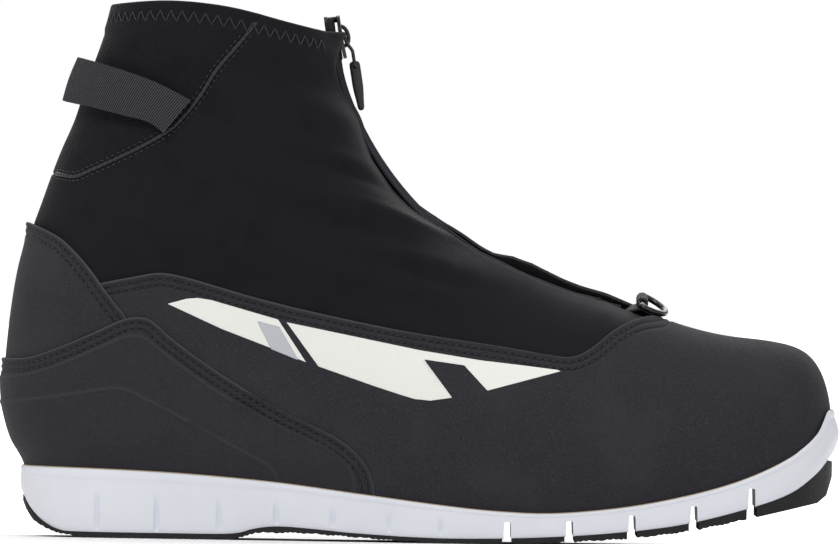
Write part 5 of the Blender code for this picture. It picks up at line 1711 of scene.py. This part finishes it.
def shell_solid(name, columns, material, grooved=None):
    """Closed solid from columns around an outline: its wall, a flat top and a flat bottom."""
    count, rows = columns.shape[:2]
    vertices = columns.reshape(-1, 3)
    faces = []
    for k in range(count):
        n = (k + 1) % count
        faces += [(k * rows + i, n * rows + i, n * rows + i + 1, k * rows + i + 1) for i in range(rows - 1)]
    tip = int(np.argmax(columns[:, 0, 0]))
    for level, flip in ((rows - 1, False), (0, True)):
        left, right = list(range(0, tip + 1)), [0] + list(range(count - 1, tip - 1, -1))
        i = j = 0
        while i < len(left) - 1 or j < len(right) - 1:
            xl = columns[left[min(i + 1, len(left) - 1)], 0, 0]
            xr = columns[right[min(j + 1, len(right) - 1)], 0, 0]
            if j >= len(right) - 1 or (i < len(left) - 1 and xl <= xr):
                face = (left[i], left[i + 1], right[j])
                i += 1
            else:
                face = (left[i], right[j + 1], right[j])
                j += 1
            if len(set(face)) == 3:
                numbers = tuple(v * rows + level for v in face)
                faces.append(numbers[::-1] if flip else numbers)
    attributes = {"groove": grooved.ravel()} if grooved is not None else None
    thing = make_object(name, vertices, faces, material, 35, attributes)
    bm = bmesh.new()
    bm.from_mesh(thing.data)
    bmesh.ops.recalc_face_normals(bm, faces=bm.faces)
    bm.to_mesh(thing.data)
    bm.free()
    return thing


def slot_cutter(x, top):
    """Flex slot through the whole sole, round at its top."""
    corner = 0.45
    outline = [(x + side * (SLOT_TOP / 2 - corner) + corner * math.cos(a), top - corner + corner * math.sin(a))
               for side, turns in ((1, (0, 45, 90)), (-1, (90, 135, 180))) for a in np.radians(turns)]
    outline += [(x - SLOT_FOOT / 2, -6), (x + SLOT_FOOT / 2, -6)]
    return prism("slot", outline, 80, LOOK["white_sole"])


def midsole():
    """White midsole, cut through by the flex slots."""
    columns, grooved = sole_wall(plan_outline(SOLE_PROUD), RUBBER, FEATHER, WALL)
    white = shell_solid("midsole_white", columns, LOOK["white_sole"], grooved)
    for x, top in SLOTS:
        boolean(white, 'DIFFERENCE', slot_cutter(x, top))
    white.data.shade_smooth()
    white.data.set_sharp_from_angle(angle=math.radians(35))
    flex_blend(white)
    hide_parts("midsole_rear", "midsole_front")
    line = plan_outline(SOLE_PROUD - 0.55)
    bead = np.column_stack((line[:, 0], line[:, 1], height(FEATHER, line[:, 0], -0.05)))
    glue = tube("glue_line", bead, 0.3, LOOK["glue"], closed=True, sides=8)
    flex_blend(glue)


def toothed(line, x0, x1, pitch=2.3, deep=0.4):
    """The tread's lower line with small irregular teeth."""
    xs = np.arange(x0, x1, 0.4)
    zs = height(line, xs)
    teeth = np.abs(np.sin(np.pi * (xs + 0.9 * np.sin(xs * 0.37)) / pitch)) ** 0.6 + 0.35 * np.sin(xs * 0.71)
    zs = np.maximum(0.05, zs + deep * (1 - teeth))
    return list(zip(xs, zs)) + [(x1, float(height(line, x1)))]


def treads():
    """Rubber blocks between the flex slots, trimmed to the plan outline."""
    bounds = [-46.0, 34.0] + [x for x, _ in SLOTS]
    names = ("outsole_heel", "outsole_waist", "outsole_lug_1", "outsole_lug_2", "outsole_lug_3", "outsole_lug_4")
    bodies = ("boot", "boot", "boot", "boot", "forefoot", "forefoot")
    for name, body, x0, x1 in zip(names, bodies, bounds, bounds[1:]):
        start = x0 + (0.15 if x0 in (-46.0, 34.0) else SLOT_FOOT / 2)
        end = x1 - (0.15 if x1 == 34.0 else SLOT_FOOT / 2)
        outline = toothed(TREAD, start, end) + stretch(RUBBER, end, start, 0.25)
        block = tread_block(f"{name}_rubber", outline)
        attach(block, body)
        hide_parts(name)
    start = SLOTS[-1][0] + SLOT_FOOT / 2
    outline = stretch(TREAD, start, 243) + [(246.6, 31.0)] + stretch(RUBBER, 243.4, start, 0.25)
    toe = tread_block("outsole_toe_rubber", outline)
    low, high = node_box("bar_cage")
    pocket = prism("pocket", ((low[0] - 0.3, -6), (high[0] + 0.3, -6), (high[0] + 0.3, high[2] + 0.3),
                              (low[0] - 0.3, high[2] + 0.3)), high[1] + 0.3, LOOK["rubber"])
    boolean(toe, 'DIFFERENCE', pocket)
    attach(toe, "forefoot")
    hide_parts("outsole_toe")


def tread_block(name, outline):
    """Side outline of a rubber block, trimmed to the sole's plan and chamfered by the trim."""
    block = prism(name, outline, 80, LOOK["rubber"])
    plan = plan_outline(SOLE_PROUD - 0.45)
    rings = [[(x, y, z) for x, y in plan] for z in (-8.0, 60.0)]
    boolean(block, 'INTERSECT', loft("plan", rings, LOOK["rubber"]))
    block.data.shade_smooth()
    block.data.set_sharp_from_angle(angle=math.radians(30))
    return block


# ================================================================ carried-over CAD nodes
def bending_boards():
    """Lasting board and toe puff, cut into strips across their length."""
    for node, first, last in (("lasting_board", 136, 216), ("toe_puff", 176, 240)):
        mesh = frame["nodes"][node].data.copy()
        bm = bmesh.new()
        bm.from_mesh(mesh)
        for x in np.arange(first, last, 4.0):
            cut = bm.verts[:] + bm.edges[:] + bm.faces[:]
            bmesh.ops.bisect_plane(bm, geom=cut, plane_co=(x * MM, 0, 0), plane_no=(1, 0, 0))
        bm.to_mesh(mesh)
        bm.free()
        piece = bpy.data.objects.new(f"{node}_fibre", mesh)
        bpy.context.scene.collection.objects.link(piece)
        mesh.materials.clear()
        mesh.materials.append(LOOK["stiffener_board"])
        flex_blend(piece)
        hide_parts(node)


def carried_over():
    """Hidden or fully shaped CAD parts keep their meshes and get a finished material."""
    finishes = {"shank": "shank_composite",
                "heel_counter": "stiffener_board", "toe_bar": "steel", "bar_cage": "moulded_plastic",
                "zip_bottom_stop": "moulded_plastic"}
    for name, look in finishes.items():
        node = frame["nodes"][name]
        node.data.materials.clear()
        node.data.materials.append(LOOK[look])


# ================================================================ studio
PICTURE_CENTRE = np.array((95.65, 0.0, 97.13))
PICTURE_WIDTH = 302.4                   # width of the view at the boot
ROLL = math.radians(0.92)
LENS, SENSOR = 1000.0, 36.0            # the photograph shows hardly any perspective


ROOM_LIGHT = 0.45                       # brightness of the white room as a light


def camera():
    data = bpy.data.cameras.new("camera")
    data.lens, data.sensor_width = LENS, SENSOR
    data.clip_end = 50
    away = PICTURE_WIDTH * LENS / SENSOR
    thing = bpy.data.objects.new("camera", data)
    bpy.context.scene.collection.objects.link(thing)
    right = Vector((math.cos(ROLL), 0, math.sin(ROLL)))
    up = Vector((-math.sin(ROLL), 0, math.cos(ROLL)))
    turn = Matrix((right, up, (0, -1, 0))).transposed()
    place = Vector(PICTURE_CENTRE - np.array((0, away, 0))) * MM
    thing.matrix_world = Matrix.Translation(place) @ turn.to_4x4()
    bpy.context.scene.camera = thing


def area_light(name, place, size, power, aim=(0.1, 0, 0.08)):
    data = bpy.data.lights.new(name, 'AREA')
    data.shape = 'RECTANGLE'
    data.size, data.size_y = size
    data.energy = power
    thing = bpy.data.objects.new(name, data)
    bpy.context.scene.collection.objects.link(thing)
    thing.location = place
    thing.rotation_euler = (Vector(aim) - Vector(place)).to_track_quat('-Z', 'Y').to_euler()


def studio():
    """Pale floor in a white room, a soft key from the upper left, a fill and two rim lights."""
    half = 30.0 / MM
    corners = [(-half, -half, 0), (half, -half, 0), (half, half, 0), (-half, half, 0)]
    make_object("floor", corners, [(0, 1, 2, 3)], floor_finish())
    world = bpy.data.worlds.new("world")
    world.use_nodes = True
    nodes, links = world.node_tree.nodes, world.node_tree.links
    nodes["Background"].inputs["Color"].default_value = (1, 1, 1, 1)
    seen_by_camera = nodes.new("ShaderNodeLightPath").outputs["Is Camera Ray"]
    strength = nodes.new("ShaderNodeMapRange")
    strength.inputs["To Min"].default_value = ROOM_LIGHT
    strength.inputs["To Max"].default_value = 1.0
    links.new(seen_by_camera, strength.inputs["Value"])
    links.new(strength.outputs["Result"], nodes["Background"].inputs["Strength"])
    bpy.context.scene.world = world
    area_light("key", (-0.6, -1.1, 1.3), (0.7, 0.7), 15)
    area_light("fill", (0.9, -1.4, 0.7), (1.0, 0.8), 4)
    area_light("top", (0.15, 0.1, 1.3), (1.2, 0.6), 5)
    area_light("rim", (0.2, 0.9, 0.7), (1.4, 0.5), 7)
    bpy.context.scene.view_settings.view_transform = 'Standard'


# ================================================================ everything
lower_shell()
gaiter()
seam_rope()
collar_zigzag()
zip_tapes()
zip_coils()
zip_slider()
zip_pull()
d_ring()
heel_loop()
prints()
liner()
lacing()
insole()
bending_boards()
midsole()
treads()
carried_over()
camera()
studio()
